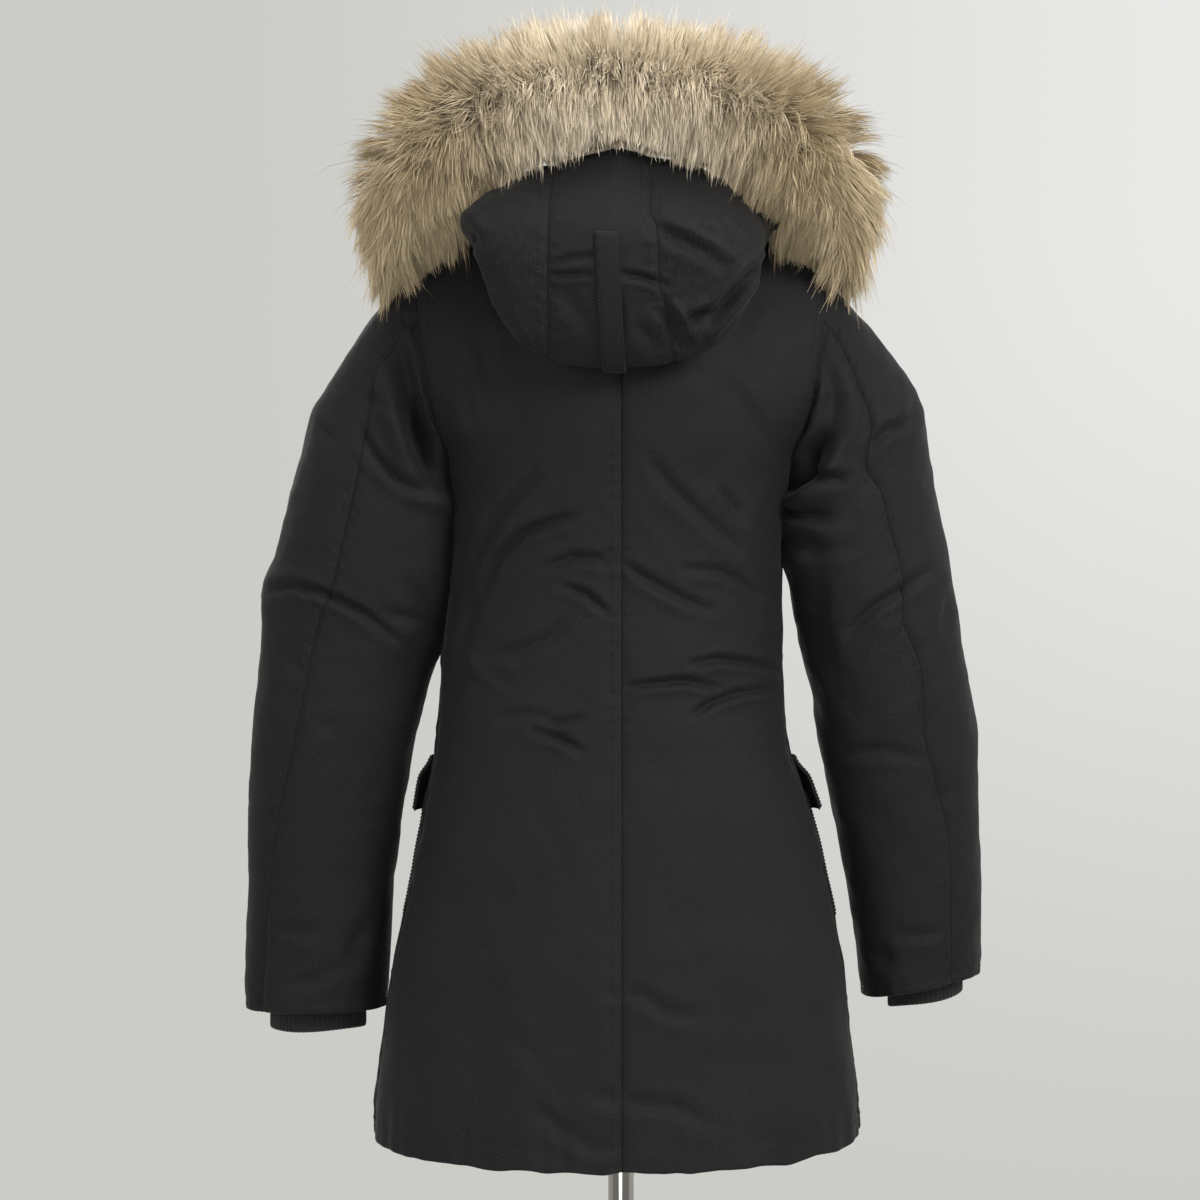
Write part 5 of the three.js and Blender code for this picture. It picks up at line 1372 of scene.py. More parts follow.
class ParkaSettings(bpy.types.PropertyGroup):
    """Sizes and colours of the parka, its form and the studio"""
    cloth_colour: colour_setting("Shell cloth", "Colour of the coat's shell", (0.0062, 0.0062, 0.0066))
    thread_colour: colour_setting("Thread", "Colour of the topstitching", (0.008, 0.008, 0.0085))
    knit_colour: colour_setting("Rib knit", "Colour of the knit cuffs", (0.006, 0.006, 0.0063))
    tape_colour: colour_setting("Zip tape", "Colour of the zip's tape", (0.018, 0.018, 0.019))
    zip_colour: colour_setting("Zip teeth", "Colour of the zip's teeth", (0.2, 0.19, 0.17))
    fur_cream: colour_setting("Fur, middle", "Pale colour of the ruff behind the neck", (0.74, 0.67, 0.54))
    fur_gold: colour_setting("Fur, sides", "Golden colour at both sides of the ruff", (0.47, 0.385, 0.245))
    fur_root: colour_setting("Fur, roots", "Colour of the hair at its root", (0.52, 0.44, 0.33))
    fur_tip: colour_setting("Fur, outer tips", "Colour of the tips at the outer edge", (0.3, 0.25, 0.19))
    linen_colour: colour_setting("Form cover", "Colour of the dress form's linen", (0.6, 0.56, 0.48))
    wood_colour: colour_setting("Finial wood", "Colour of the turned wood", (0.56, 0.41, 0.25))
    chrome_colour: colour_setting("Chrome", "Colour of the pole and base", (0.42, 0.405, 0.37))
    floor_colour: colour_setting("Floor", "Colour of the studio floor", (0.5, 0.5, 0.49))
    backdrop_colour: colour_setting("Backdrop", "Brightest colour behind the coat", (0.82, 0.82, 0.81))
    backdrop_shade: colour_setting("Backdrop shade", "Darkest colour behind the coat", (0.6, 0.6, 0.57))
    room_colour: colour_setting("Room", "Colour of the room behind the camera", (0.32, 0.32, 0.32))
    cloth_wall: length_setting("Cloth thickness", "Thickness of the quilted cloth", 0.002)
    hood_wall: length_setting("Hood thickness", "Thickness of the hood cloth", 0.002)
    stitch_pitch: length_setting("Stitch pitch", "Distance from stitch to stitch", 0.0034)
    stitch_length: length_setting("Stitch length", "Length of one stitch", 0.0027)
    thread_width: length_setting("Thread width", "Thickness of the thread", 0.0009)
    rib_pitch: length_setting("Rib pitch", "Distance between the ribs of the knit", 0.0042)
    hair_length: length_setting("Hair length", "Longest guard hair of the ruff", 0.047)
    hair_width: length_setting("Hair width", "Width of a hair lock at its root", 0.0012)
    hair_clumps: count_setting("Hair clumps", "Number of hair clumps in the ruff", 100, 3600)
    clump_hairs: count_setting("Hairs in a clump", "Number of hairs in a clump", 2, 21)
    camera_height: length_setting("Camera height", "Height of the camera over the floor", 1.052)
    camera_distance: length_setting("Camera distance", "Distance of the camera behind the coat", 2.6)
    camera_lens: bpy.props.FloatProperty(name="Lens", description="Focal length for a 36 mm frame",
                                         min=10, default=83.87)


# Operators
class PARKA_OT_body(bpy.types.Operator):
    """Cut and lay the four body panels"""
    bl_idname = "parka.body"
    bl_label = "Body panels"

    def execute(self, context):
        settings = context.scene.parka
        cloth = shell_cloth(settings.cloth_colour)
        for side in (LEFT, RIGHT):
            for face in (BACK, FRONT):
                body_panel(side, face, cloth, settings.cloth_wall)
        return {"FINISHED"}


class PARKA_OT_sleeves(bpy.types.Operator):
    """Cut and lay the two pieces of each sleeve"""
    bl_idname = "parka.sleeves"
    bl_label = "Sleeves"

    def execute(self, context):
        settings = context.scene.parka
        cloth = shell_cloth(settings.cloth_colour)
        for side in (LEFT, RIGHT):
            for part in ("under", "outer"):
                sleeve_panel(side, part, cloth, settings.cloth_wall)
        return {"FINISHED"}


class PARKA_OT_cuffs(bpy.types.Operator):
    """Knit the rib cuffs inside the sleeve ends"""
    bl_idname = "parka.cuffs"
    bl_label = "Knit cuffs"

    def execute(self, context):
        settings = context.scene.parka
        yarn = rib_knit(settings.knit_colour)
        for side in (LEFT, RIGHT):
            rings, knit = SLEEVE_RINGS[side], KNIT[side]
            ox, oz, ix, iz, end_depth = (rings[n][-1] for n in ("ox", "oz", "ix", "iz", "depth"))
            middle_x, middle_z = (ox + ix) / 2, (oz + iz) / 2
            tilt = (oz - iz) / (ox - ix)
            low = -knit["drop"]
            rise = np.array([KNIT_SEAT - 2, KNIT_SEAT - 9, KNIT_SEAT - 16, 4, 0, -4, -8, -12, low + 2, low])
            share = np.array([0.0, 0.05, 0.6, 1, 1, 1, 1, 1, 1, 1])
            half = mix((ox - ix) / 2 - SLEEVE_WALL - KNIT_CLEAR, knit["half"], share)
            depth = mix(end_depth - SLEEVE_WALL - KNIT_CLEAR, knit["depth"], share)
            shift = mix(middle_x, knit["x"], share)
            around = 2 * math.pi * (knit["half"] + knit["depth"]) / 2
            ribs = int(round(around * MM / settings.rib_pitch))
            angle = np.linspace(0, 2 * np.pi, ribs * 4 + 1)
            step = np.arange(len(angle)) % 4
            rib = np.where(step == 0, -0.9, np.where(step == 2, 0.35, 0.1))
            rib[-1] = rib[0]
            grid_a, grid_r = np.meshgrid(angle, rise)
            h, d, s = (np.repeat(a[:, None], len(angle), 1) for a in (half, depth, shift))
            swell = rib[None, :] - 0.6 * (np.arange(len(rise)) >= len(rise) - 1)[:, None]
            x = s + signed_power(np.cos(grid_a), SLEEVE_ROUNDNESS) * (h + swell)
            y = knit["y"] + signed_power(np.sin(grid_a), SLEEVE_ROUNDNESS) * (d + swell)
            z = middle_z + grid_r + (x - middle_x) * tilt
            z = z + 0.8 * np.sin(grid_a * 3 + 1) * (grid_r < 0)
            points = stack(side * x, y, z)
            normals = unit(stack(side * np.cos(grid_a), np.sin(grid_a), 0 * grid_a))
            word = "left" if side == LEFT else "right"
            piece = cloth_piece(f"knit_cuff_{word}_yarn", points[::-1], normals[::-1], KNIT_WALL, yarn)
            close_seams(piece)
            declare(piece, "knit_cuff_" + word, "rib_knit", "stretched",
                    points, KNIT_ALLOWANCE)
        return {"FINISHED"}


class PARKA_OT_hood(bpy.types.Operator):
    """Cut and drape the three hood panels and the strap"""
    bl_idname = "parka.hood"
    bl_label = "Hood and strap"

    def execute(self, context):
        settings = context.scene.parka
        cloth = shell_cloth(settings.cloth_colour)
        left, right = hood_line(HOOD_LINES[LEFT]), hood_line(HOOD_LINES[RIGHT])
        hood_panel("hood_centre", right, left, 26, 1.0, cloth, settings.hood_wall)
        hood_panel("hood_left", left, lambda v: v * 0 + HOOD_END, 66, 1.5, cloth, settings.hood_wall)
        hood_panel("hood_right", right, lambda v: v * 0 - HOOD_END, 66, 1.5, cloth, settings.hood_wall)
        across = np.array([0, 0.02, 0.09, 0.2, 0.35, 0.5, 0.65, 0.8, 0.91, 0.98, 1.0])
        down = np.linspace(0, 1, 70)
        i, j = np.meshgrid(across, down)
        v = mix(STRAP["end_step"], STRAP["top_step"], j)
        x = mix(STRAP["end_x"], STRAP["top_x"], j) + (i - 0.5) * STRAP["width"]
        place = hood_place_at(x.ravel(), v.ravel())
        base = hood_face(place, v.ravel()).reshape(*i.shape, 3)
        normals = hood_normal(place, v.ravel()).reshape(*i.shape, 3)
        ends = np.minimum(np.minimum(i, 1 - i) * STRAP["width"], np.minimum(j * 3, 1 - j) * 110)
        lift = STRAP["lift"] + 1.6 + STRAP["thick"] * smooth(ends / 1.6)
        lift = lift - 0.5 * np.exp(-((ends - 2.6) / 0.9) ** 2)
        points = base + normals * lift[..., None]
        keep_line("strap_start", points[2:-2, 2], normals[2:-2, 2])
        keep_line("strap_end", points[2:-2, -3], normals[2:-2, -3])
        keep_line("strap_top", points[-3, 2:-2], normals[-3, 2:-2])
        to_end = lengths(points, 0)[-1, 5] - lengths(points, 0)[:, 5]
        box_row = int(np.argmin(np.abs(to_end - STRAP["box"])))
        keep_line("strap_box", points[box_row, 2:-2], normals[box_row, 2:-2])
        piece = cloth_piece("hood_strap_cloth", points, normals, settings.hood_wall, cloth)
        declare(piece, "hood_strap", "coat_cloth", "laid", points)
        return {"FINISHED"}


class PARKA_OT_closure(bpy.types.Operator):
    """Lay the zip between the fronts and the storm flap over it"""
    bl_idname = "parka.closure"
    bl_label = "Front closure"

    def execute(self, context):
        settings = context.scene.parka
        cloth = shell_cloth(settings.cloth_colour)

        def across_front(column, v, lift):
            """Points over both fronts, by their column from the middle and their lift."""
            left, right = (body_face(side, FRONT, np.abs(column), v)
                           + own_normal(side, FRONT, np.abs(column), v) * lift[:, None]
                           for side in (LEFT, RIGHT))
            return np.where((column < 0)[:, None], right, left)

        i, j = np.meshgrid(np.linspace(-1, 1, 7), np.linspace(0, 1, 120))
        tape = across_front((i * ZIP_COLUMN * 1.15).ravel(), mix(0.01, 0.995, j).ravel(),
                            np.full(i.size, -3.0)).reshape(*i.shape, 3)
        forward = np.broadcast_to(np.array([0.0, -1.0, 0.0]), tape.shape)
        piece = cloth_piece("zip_tape_woven", tape, forward, TAPE_WALL, woven_tape(settings.tape_colour))
        declare(piece, "zip_tape", "zip_tape", "laid", tape)

        count, tooth_length, overlap, sunk = 260, 3.4, 1.2, 2.6
        v = np.linspace(0.012, 0.992, count)
        points, faces = [], []
        middle = across_front(np.zeros(count), v, np.full(count, -sunk))
        box = np.array([(a, b, c) for c in (-0.55, 0.55) for b in (-1.3, 0.4) for a in (0, 1)], float)
        corner = np.array([(0, 2, 3, 1), (4, 5, 7, 6), (0, 1, 5, 4),
                           (2, 6, 7, 3), (0, 4, 6, 2), (1, 3, 7, 5)])
        for k in range(count):
            way = -1 if k % 2 else 1
            tooth = box * [tooth_length * way, 1, 1] + [-overlap * way, 0, 0]
            points.append(middle[k] + tooth)
            faces.append((corner if way > 0 else corner[:, ::-1]) + 8 * k)
        teeth = mesh_piece("zip_teeth", np.concatenate(points) * MM, [np.concatenate(faces)],
                           zip_metal(settings.zip_colour), False)
        mount(teeth, "zip_tape")

        edge = FLY["share"] * ZIP_COLUMN
        half = np.array([0.3, 0.6, 0.82, 0.93, 0.985, 1])
        i, j = np.meshgrid(np.concatenate([-half[::-1], [0], half]), np.linspace(0, 1, 150))
        close = smooth(np.minimum(1 - np.abs(i), 0.2) / 0.08)
        up = j * FLY["top"]
        lift = LAID_GAP + 2.4 + mix(0, FLY["thick"] - 1.4, close)
        lift = lift - 0.6 * np.exp(-((np.abs(i) - 0.82) / 0.05) ** 2)
        lift = lift + 0.5 * wander(j * 780, 77, 60) * (1 - close * 0.5)
        fly = across_front((i * edge).ravel(), up.ravel(), lift.ravel()).reshape(*i.shape, 3)
        raised = across_front((i * edge).ravel(), up.ravel(), lift.ravel() + 1).reshape(*i.shape, 3)
        forward = unit(raised - fly)
        keep_line("fly_left", fly[:, -4], forward[:, -4])
        keep_line("fly_right", fly[:, 3], forward[:, 3])
        piece = cloth_piece("front_fly_cloth", fly, forward, settings.cloth_wall, cloth)
        declare(piece, "front_fly", "coat_cloth", "laid", fly)
        return {"FINISHED"}


class PARKA_OT_pockets(bpy.types.Operator):
    """Lay the two lower pockets and their flaps on the fronts"""
    bl_idname = "parka.pockets"
    bl_label = "Pockets and flaps"

    def execute(self, context):
        settings = context.scene.parka
        cloth = shell_cloth(settings.cloth_colour)
        low_z, high_z = BODY_ROWS["z"][0], BODY_ROWS["z"][-1]
        edge_places = np.array([0, 0.006, 0.03, 0.07, 0.14])
        places = np.concatenate([edge_places, np.linspace(0.2, 0.8, 14), 1 - edge_places[::-1]])
        for side in (LEFT, RIGHT):
            word = "left" if side == LEFT else "right"

            def laid(plan, lift_of, name, rests, seed):
                i, j = np.meshgrid(places, places)
                u = mix(plan["inner"], plan["outer"], i)
                v = (mix(plan["low"], plan["high"], j) - low_z) / (high_z - low_z) * SPLIT
                base = body_face(side, FRONT, u.ravel(), v.ravel()).reshape(*i.shape, 3)
                normals = own_normal(side, FRONT, u.ravel(), v.ravel()).reshape(*i.shape, 3)
                lift = lift_of(i, j) + 0.4 * unevenness(base, seed, 30)
                points = base + normals * lift[..., None]
                keep_line(name + "_low", points[2, 2:-2], normals[2, 2:-2])
                keep_line(name + "_in", points[2:-2, 2], normals[2:-2, 2])
                keep_line(name + "_out", points[2:-2, -3], normals[2:-2, -3])
                keep_line(name + "_top", points[-3, 2:-2], normals[-3, 2:-2])
                piece = cloth_piece(name + "_cloth", points, normals, settings.cloth_wall * 0.8, cloth)
                declare(piece, name, "coat_cloth", "laid", points)

            def pocket_lift(i, j):
                close = smooth(np.minimum(np.minimum(i, 1 - i) * 2.0, j) / 0.05)
                full = smooth(np.minimum(np.minimum(i, 1 - i), j) / 0.3)
                return 2.2 + close * 2.2 + full * 3.2

            def flap_lift(i, j):
                close = smooth(np.minimum(np.minimum(i, 1 - i), np.minimum(j, 1 - j)) / 0.04)
                stand = LAID_GAP + FLAP["stand"] * smooth((1 - j) / 0.45)
                return stand + 2.2 + close * (FLAP["thick"] - 2.0)

            laid(POCKET, pocket_lift, "pocket_" + word, ["front_" + word + "_cloth"], 150 + side)
            laid(FLAP, flap_lift, "pocket_flap_" + word, ["pocket_" + word + "_cloth"], 160 + side)
        return {"FINISHED"}


def core_point(place, angle, share):
    """The under fur fills the ruff's inner edge and part of its outer half."""
    return ruff_point(place, angle, share * mix(0.6, 0.98, smooth((-np.cos(angle) - 0.1) / 0.8)))


def hair_flow(place, angle, turning):
    """Surface normal and lie of the hair at a place on the ruff."""
    step = 0.02
    round_way = unit(ruff_point(place, angle + step) - ruff_point(place, angle - step))
    _, outward, across, _, long, _ = ruff_section(place)
    before, after = np.maximum(place - 0.5, -HOOD_END), np.minimum(place + 0.5, HOOD_END)
    wide = ruff_frame(after)[0] - ruff_frame(before)[0]
    along = unit(wide - round_way * (wide * round_way).sum(1)[:, None])
    round_way = unit(round_way - unit(wide) * (round_way * unit(wide)).sum(1)[:, None])
    normal = unit(np.cross(round_way, along))
    centre_way = outward * np.cos(angle)[:, None] + across * np.sin(angle)[:, None]
    normal = normal * np.sign((normal * centre_way).sum(1))[:, None]
    part = np.tanh((np.radians(PARTING_TURN) - np.abs(angle) + turning) / 0.8)
    lie = round_way * (-np.sign(angle) * part * np.abs(np.sin(angle)) ** 0.5)[:, None]
    lie = lie * mix(1, 0.45, smooth((np.abs(place) - 3) / 1.2))[:, None]
    weight = np.array([0, 0, -1.0])
    down = weight - normal * (normal @ weight)[:, None]
    pull = mix(0.08, 1.25, smooth((np.abs(place) - 1.0) / 2.8))
    flat = lie + down * pull[:, None]
    flat = flat + normal * np.clip(1.3 - np.linalg.norm(flat, axis=1), 0, 1.3)[:, None]
    tuck = smooth((np.abs(place) - 3.4) / 1.0) * np.clip(np.cos(angle), 0, 1) * 0.75
    flat = flat - np.array([1.0, 0, 0]) * (np.sign(place) * tuck)[:, None]
    return normal, unit(flat), outward, across, long


def hair_paths(place, angle, length, sway, turning, over):
    """Four points along each hair, kept off the hood, and the ruff's direction there."""
    normal, flat, outward, across, long = hair_flow(place, angle, turning)
    shares = np.linspace(0, 1, 4)
    line = [core_point(place, angle, 0.97)]
    for a, b in zip(shares[:-1], shares[1:]):
        t = (a + b) / 2
        way = unit(normal * (0.8 * (1 - t) ** 1.3 + 0.02) + flat * (0.5 + 0.6 * t) + sway * (0.22 * t)
                   + np.array([0, 0, -0.18 * t]))
        line.append(line[-1] + way * (length * (b - a))[:, None])
    line = np.stack(line, 1)
    middle = ruff_section(place)[0]

    def inwards(points):
        return -((points - middle[:, None]) * outward[:, None]).sum(-1)

    inward = inwards(line)
    allowed = long + mix(-3, 28, smooth((np.abs(place) - 1.1) / 2.6)) + 16 * over ** 4 - inward[:, 0]
    share = np.clip(allowed / np.maximum(inward[:, -1] - inward[:, 0], 1), 0.3, 1)
    share = np.where(inward[:, -1] > inward[:, 0], share, 1)
    line = line[:, :1] + (line - line[:, :1]) * share[:, None, None]
    beyond = np.maximum(0, inwards(line) - long[:, None] * 0.9)
    line += across[:, None] * (beyond * 0.85 * (angle > 0)[:, None])[..., None]
    return line, normal


def clump_places(rng, clumps):
    """Places of the hair clumps along the ruff and round it."""
    fine = np.linspace(-HOOD_END, HOOD_END, 721)
    middle, _, _, _, long, thick = ruff_section(fine)
    steps = np.linalg.norm(np.diff(middle, axis=0), axis=1) * (long[1:] + thick[1:])
    walked = np.concatenate([[0], np.cumsum(steps)])
    place = np.interp(rng.uniform(0, walked[-1], clumps), walked, fine)
    angle = rng.uniform(-np.pi, np.pi, clumps)
    parting = rng.uniform(0, 1, clumps) < PARTING_SHARE
    angle[parting] = rng.normal(1.45, 0.3, clumps)[parting]
    thin = (np.abs(np.sin(angle)) * 0.75 + 0.25) < rng.uniform(0, 1, clumps)
    angle[thin] = np.sign(angle[thin]) * rng.uniform(0.35, 2.4, thin.sum())
    return np.clip(place, -HOOD_END + 0.08, HOOD_END - 0.08), angle


def clump_size(place, angle):
    """Hair length by place, as a share: long at the ruff's corners, shorter behind the neck."""
    at = np.abs(place)
    leg = np.exp(-((at - 4.4) / 0.9) ** 2)
    size = through(RUFF_ROWS["long"], at) / 58
    size = size * (1 + 0.75 * leg * np.exp(-((angle - 1.1) / 0.6) ** 2))
    size = size * (1 - 0.3 * leg * smooth((0.9 - np.abs(angle)) / 0.5))
    size = size * (1 - 0.22 * np.exp(-((at - 3.3) / 0.5) ** 2) * smooth((angle - 1.4) / 0.4))
    return size * (1 - 0.16 * np.exp(-(at / 1.6) ** 2))


def grow_hair(settings):
    """Seven points to a hair, their strand values, and the place of each hair's clump."""
    rng = np.random.default_rng(11)
    clumps, each = settings.hair_clumps, settings.clump_hairs
    clump_place, clump_angle = clump_places(rng, clumps)
    hairs = clumps * each
    member = np.repeat(np.arange(clumps), each)
    spread = rng.normal(0, 1, (hairs, 2))
    place = np.clip(clump_place[member] + spread[:, 0] * 0.062, -HOOD_END + 0.02, HOOD_END - 0.02)
    angle = clump_angle[member] + spread[:, 1] * 0.12
    longest = settings.hair_length / MM * (0.7 + 0.3 * np.abs(np.sin(clump_angle)))
    clump_length = longest * clump_size(clump_place, clump_angle) * rng.uniform(0.78, 1.16, clumps)
    clump_sway = rng.normal(0, 0.5, (clumps, 3))
    clump_turn = rng.normal(0, 0.75, clumps)
    length = clump_length[member] * rng.uniform(0.72, 1.1, hairs)
    wisp = rng.uniform(0, 1, hairs) < 0.16
    length = np.where(wisp, length * rng.uniform(1.1, 1.5, hairs), length)
    own, normal = hair_paths(place, angle, length, clump_sway[member] + rng.normal(0, 0.35, (hairs, 3)),
                             clump_turn[member] + rng.normal(0, 0.07, hairs), rng.uniform(0, 1, hairs))
    lead, _ = hair_paths(clump_place, clump_angle, clump_length, clump_sway, clump_turn,
                         np.full(clumps, 0.5))
    t = np.linspace(0, 1, 4)
    gather = (rng.uniform(0.2, 0.62, clumps)[member][:, None] * t ** 1.4)[..., None]
    gather = gather * (1 - 0.9 * wisp)[:, None, None]
    own = own + (lead[member] - own) * gather * (t ** 0.3)[None, :, None]
    root_y = own[:, 0, 1]
    beyond = np.maximum((own[..., 1].max(1) - root_y) / (HAIR_HIGH_Y - root_y),
                        (own[..., 1].min(1) - root_y) / (HAIR_LOW_Y - root_y))
    own = own[:, :1] + (own - own[:, :1]) / np.maximum(beyond, 1)[:, None, None]
    way = unit(np.diff(own, axis=1, append=own[:, -1:] * 2 - own[:, -2:-1]))
    twist = rng.normal(0, 0.45, hairs)
    side = unit(np.cross(way, normal[:, None]))
    lift = unit(np.cross(side, way))
    side = side * np.cos(twist)[:, None, None] + lift * np.sin(twist)[:, None, None]
    width = settings.hair_width / MM * rng.uniform(0.55, 1.15, hairs) * np.where(wisp, 0.5, 1)
    taper = np.array([0.8, 1.0, 0.7, 0.0])
    edge = side * (width[:, None] * taper[None] / 2)[..., None]
    points = np.concatenate([(own - edge)[:, :3], (own + edge)[:, :3], own[:, 3:]], 1)
    strand = np.zeros((hairs, 7, 4), np.float32)
    strand[:, :, 0] = np.concatenate([t[:3], t[:3], t[3:]])[None]
    tone = 0.5 + rng.normal(0, 0.16, clumps)[member] + rng.normal(0, 0.2, hairs)
    strand[:, :, 1] = np.clip(tone, 0, 1)[:, None]
    strand[:, :, 2] = smooth((np.abs(place) - 0.3) / 1.9)[:, None]
    strand[:, :, 3] = (smooth((np.cos(angle) - 0.1) / 0.8) * rng.uniform(0.2, 1, hairs))[:, None]
    return points, strand, clump_place[member]


class PARKA_OT_ruff(bpy.types.Operator):
    """Grow the fur ruff: dense under fur and long clumped guard hair"""
    bl_idname = "parka.ruff"
    bl_label = "Fur ruff"

    def execute(self, context):
        settings = context.scene.parka
        place, angle = np.meshgrid(np.linspace(-HOOD_END, HOOD_END, 181), np.linspace(0, 2 * np.pi, 37))
        core = core_point(place.ravel(), angle.ravel(), 1.0).reshape(*place.shape, 3)
        centre = core_point(place.ravel(), angle.ravel(), 0.9).reshape(*place.shape, 3)
        out = unit(core - centre)
        core = core + out * (1.4 * unevenness(core, 5, 14))[..., None]
        core[-1] = core[0]
        under = cloth_piece("fur_ruff_underfur", core, out, 0, under_fur(settings))
        close_seams(under, fill=True)
        mount(under, "fur", "fur_ruff")

        points, strand, at = grow_hair(settings)
        hair = fur_hair(settings)
        names = ("right_end", "right", "middle", "left", "left_end")
        for name, low, high in zip(names, HAIR_BOUNDS[:-1], HAIR_BOUNDS[1:]):
            chosen = (at >= low) & (at < high)
            start = np.arange(chosen.sum())[:, None] * 7
            quads = np.concatenate([start + [k, k + 3, k + 4, k + 1] for k in range(2)])
            tips = start + [2, 5, 6]
            piece = mesh_piece("fur_hair_" + name, points[chosen] * MM, [quads, tips], hair)
            layer = piece.data.attributes.new("strand", "FLOAT_COLOR", "POINT")
            layer.data.foreach_set("color", strand[chosen].ravel())
            mount(piece, "fur")
        return {"FINISHED"}


class PARKA_OT_stitching(bpy.types.Operator):
    """Sew the topstitching along the seams and hems"""
    bl_idname = "parka.stitching"
    bl_label = "Topstitching"

    def execute(self, context):
        settings = context.scene.parka
        thread = sewing_thread(settings.thread_colour)
        words = ("left", "right")
        groups = {
            "stitches_back": ["back_left_middle", "back_left_hem", "back_right_hem",
                              "front_left_hem", "front_right_hem"],
            "stitches_armholes": [f"{face}_{word}_arm_{far}" for face in ("back", "front")
                                  for word in words for far in ("near", "far")],
            "stitches_sleeves": ["sleeve_outer_left_seam", "sleeve_under_right_seam"]
            + [f"sleeve_{part}_{word}_cuff" for part in ("under", "outer") for word in words],
            "stitches_hood": ["hood_left_start", "hood_right_start", "hood_centre_start", "hood_centre_end",
                              "strap_start", "strap_end", "strap_top", "strap_box"],
            "stitches_front": ["fly_left", "fly_right"]
            + [f"pocket_{word}_{edge}" for word in words for edge in ("low", "in", "out")]
            + [f"pocket_flap_{word}_{edge}" for word in words for edge in ("low", "in", "out", "top")],
        }
        for name, lines in groups.items():
            points, faces = stitches([sewn[line] for line in lines], settings.stitch_pitch / MM,
                                     settings.stitch_length / MM, settings.thread_width / MM)
            mount(mesh_piece(name, points, faces, thread), "coat_cloth")
        return {"FINISHED"}


class PARKA_OT_form(bpy.types.Operator):
    """Build the dress form, its finial and the chrome stand"""
    bl_idname = "parka.form"
    bl_label = "Dress form and stand"

    def execute(self, context):
        settings = context.scene.parka
        rows = np.linspace(0, len(FORM_ROWS["z"]) - 1, 90)
        angle = np.linspace(0, 2 * np.pi, 73)
        a, r = np.meshgrid(angle, rows)
        names = ("half", "back", "front", "shift", "z")
        half, back, front, shift, z = (through(FORM_ROWS[name], r) for name in names)
        deep = np.where(np.sin(a) > 0, back, front)
        points = stack(shift + half * signed_power(np.cos(a), FORM_ROUNDNESS),
                       deep * signed_power(np.sin(a), FORM_ROUNDNESS), z)
        to_seam = np.minimum.reduce([np.abs(np.angle(np.exp(1j * (a - s)))) for s in np.radians(FORM_SEAMS)])
        out = stack(np.cos(a), np.sin(a), 0 * a)
        points = points - out * (0.6 * np.exp(-(to_seam / 0.03) ** 2))[..., None]
        cover = cloth_piece("form_cover", points, out, 0, form_linen(settings.linen_colour))
        close_seams(cover, fill=True)
        mount(cover, "form_linen", "form_torso")
        neck = (FORM_ROWS["shift"][-1], 0, FORM_ROWS["z"][-1] + 0.4)
        finial = turned_piece("finial_turned", [(0, 0)] + FINIAL_PROFILE + [(0, FINIAL_TOP)],
                              turned_wood(settings.wood_colour), neck, FINIAL_LEAN, 40, 1)
        mount(finial, "turned_wood", "neck_finial")
        chrome = polished_chrome(settings.chrome_colour)
        base = turned_piece("stand_base_turned", [(0, 0)] + BASE_PROFILE + [(0, STAND_FOOT)],
                            chrome, steps=96)
        mount(base, "chrome_stand", "stand_base")
        foot, top, bevel = STAND_FOOT + 0.4, FORM_ROWS["z"][0] - 0.4, 0.6
        tube = [(0, foot), (POLE_RADIUS - bevel, foot), (POLE_RADIUS, foot + bevel),
                (POLE_RADIUS, top - bevel), (POLE_RADIUS - bevel, top), (0, top)]
        mount(turned_piece("stand_pole_tube", tube, chrome, steps=48), "chrome_stand", "stand_pole")
        return {"FINISHED"}


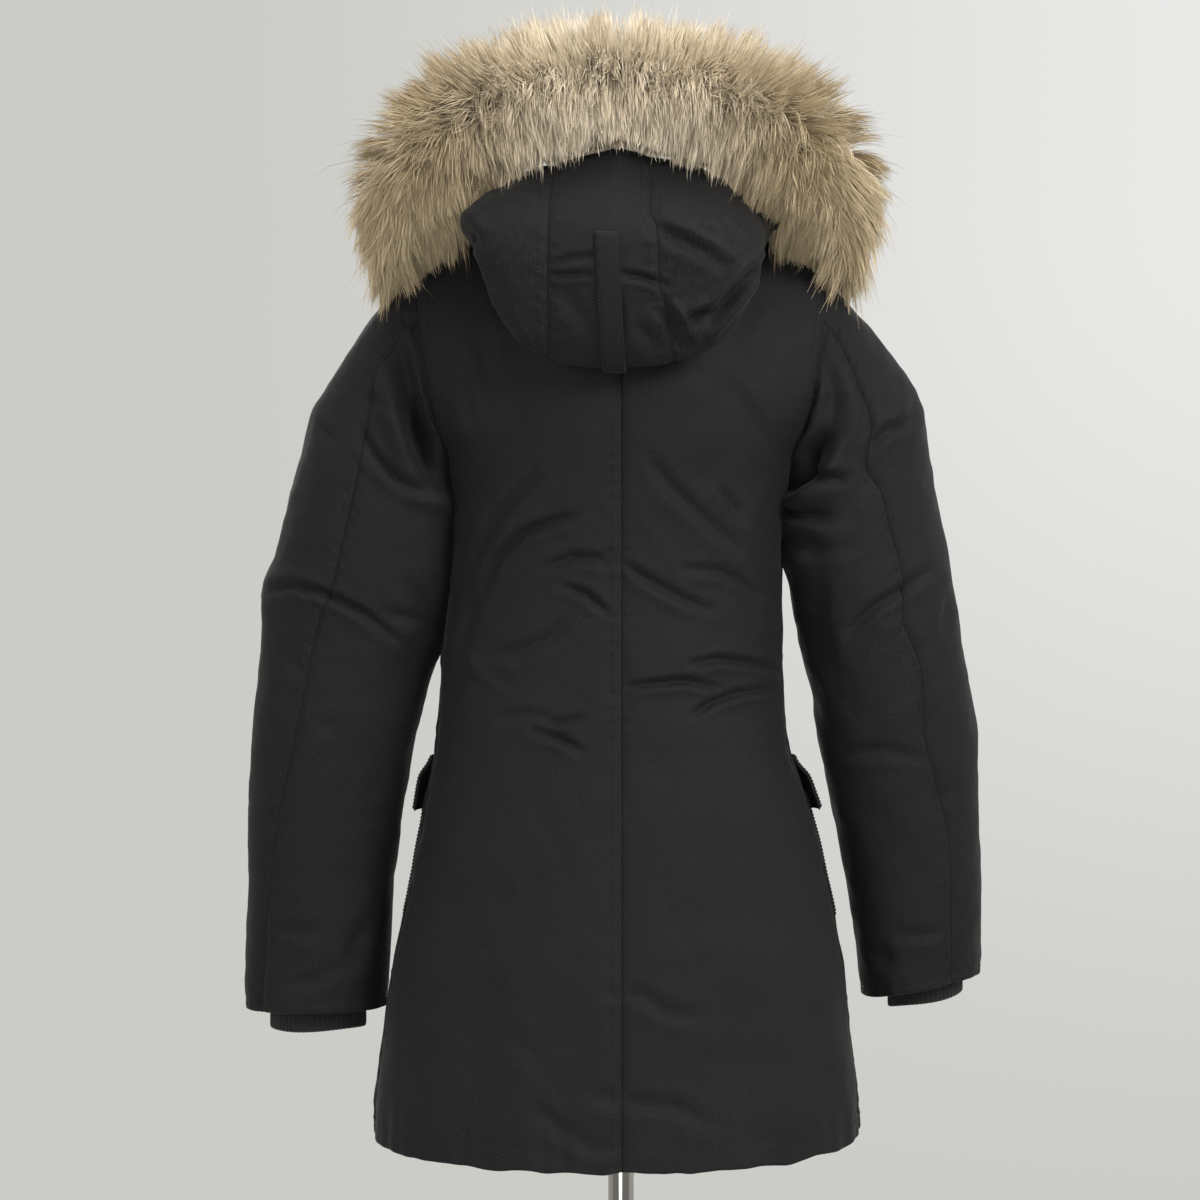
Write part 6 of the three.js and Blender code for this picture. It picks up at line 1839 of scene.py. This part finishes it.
class PARKA_OT_stage(bpy.types.Operator):
    """Set up the floor, soft studio light, backdrop and camera"""
    bl_idname = "parka.stage"
    bl_label = "Studio and camera"

    def execute(self, context):
        settings = context.scene.parka
        scene = context.scene
        bm = bmesh.new()
        bmesh.ops.create_circle(bm, cap_ends=True, cap_tris=False, segments=96, radius=FLOOR_RADIUS)
        bmesh.ops.translate(bm, verts=bm.verts, vec=(0, 0, -FLOOR_DROP))
        mesh = bpy.data.meshes.new("floor")
        bm.to_mesh(mesh)
        bm.free()
        placed("floor", mesh, studio_floor(settings.floor_colour), False)
        world = bpy.data.worlds.new("backdrop")
        scene.world = world
        world.use_nodes = True
        backdrop_light(world.node_tree, settings)
        for name, place, size, power in LIGHTS:
            lamp = bpy.data.lights.new(name, "AREA")
            lamp.shape = "DISK"
            lamp.size = size
            lamp.energy = power
            light = bpy.data.objects.new(name, lamp)
            light.location = place
            aim = np.array(LIGHT_AIM) - np.array(place)
            flat = math.hypot(aim[0], aim[1])
            light.rotation_euler = (math.atan2(flat, -aim[2]), 0, math.atan2(aim[1], aim[0]) - math.pi / 2)
            scene.collection.objects.link(light)
        camera = bpy.data.objects.new("camera", bpy.data.cameras.new("camera"))
        camera.data.lens = settings.camera_lens
        camera.data.sensor_width = 36
        camera.data.clip_end = 50
        camera.location = (CAMERA_SIDE, settings.camera_distance, settings.camera_height)
        camera.rotation_euler = (math.pi / 2, 0, math.pi)
        scene.collection.objects.link(camera)
        scene.camera = camera
        scene.view_settings.view_transform = "Standard"
        return {"FINISHED"}


class PARKA_PT_panel(bpy.types.Panel):
    """Pieces, sizes and colours of the parka"""
    bl_idname = "PARKA_PT_panel"
    bl_label = "Parka"
    bl_space_type = "VIEW_3D"
    bl_region_type = "UI"
    bl_category = "Parka"

    def draw(self, context):
        for operator in OPERATORS:
            self.layout.operator(operator.bl_idname)
        for name in ParkaSettings.__annotations__:
            self.layout.prop(context.scene.parka, name)


OPERATORS = (PARKA_OT_stage, PARKA_OT_form, PARKA_OT_body, PARKA_OT_sleeves, PARKA_OT_cuffs, PARKA_OT_hood,
             PARKA_OT_closure, PARKA_OT_pockets, PARKA_OT_ruff, PARKA_OT_stitching)
CLASSES = (ParkaSettings, *OPERATORS, PARKA_PT_panel)


def register():
    for cls in CLASSES:
        bpy.utils.register_class(cls)
    bpy.types.Scene.parka = bpy.props.PointerProperty(type=ParkaSettings)


def unregister():
    del bpy.types.Scene.parka
    for cls in reversed(CLASSES):
        bpy.utils.unregister_class(cls)


def main():
    register()
    bpy.ops.parka.stage()
    bpy.ops.parka.form()
    bpy.ops.parka.body()
    bpy.ops.parka.sleeves()
    bpy.ops.parka.cuffs()
    bpy.ops.parka.hood()
    bpy.ops.parka.closure()
    bpy.ops.parka.pockets()
    bpy.ops.parka.ruff()
    bpy.ops.parka.stitching()


if __name__ == "__main__":
    main()
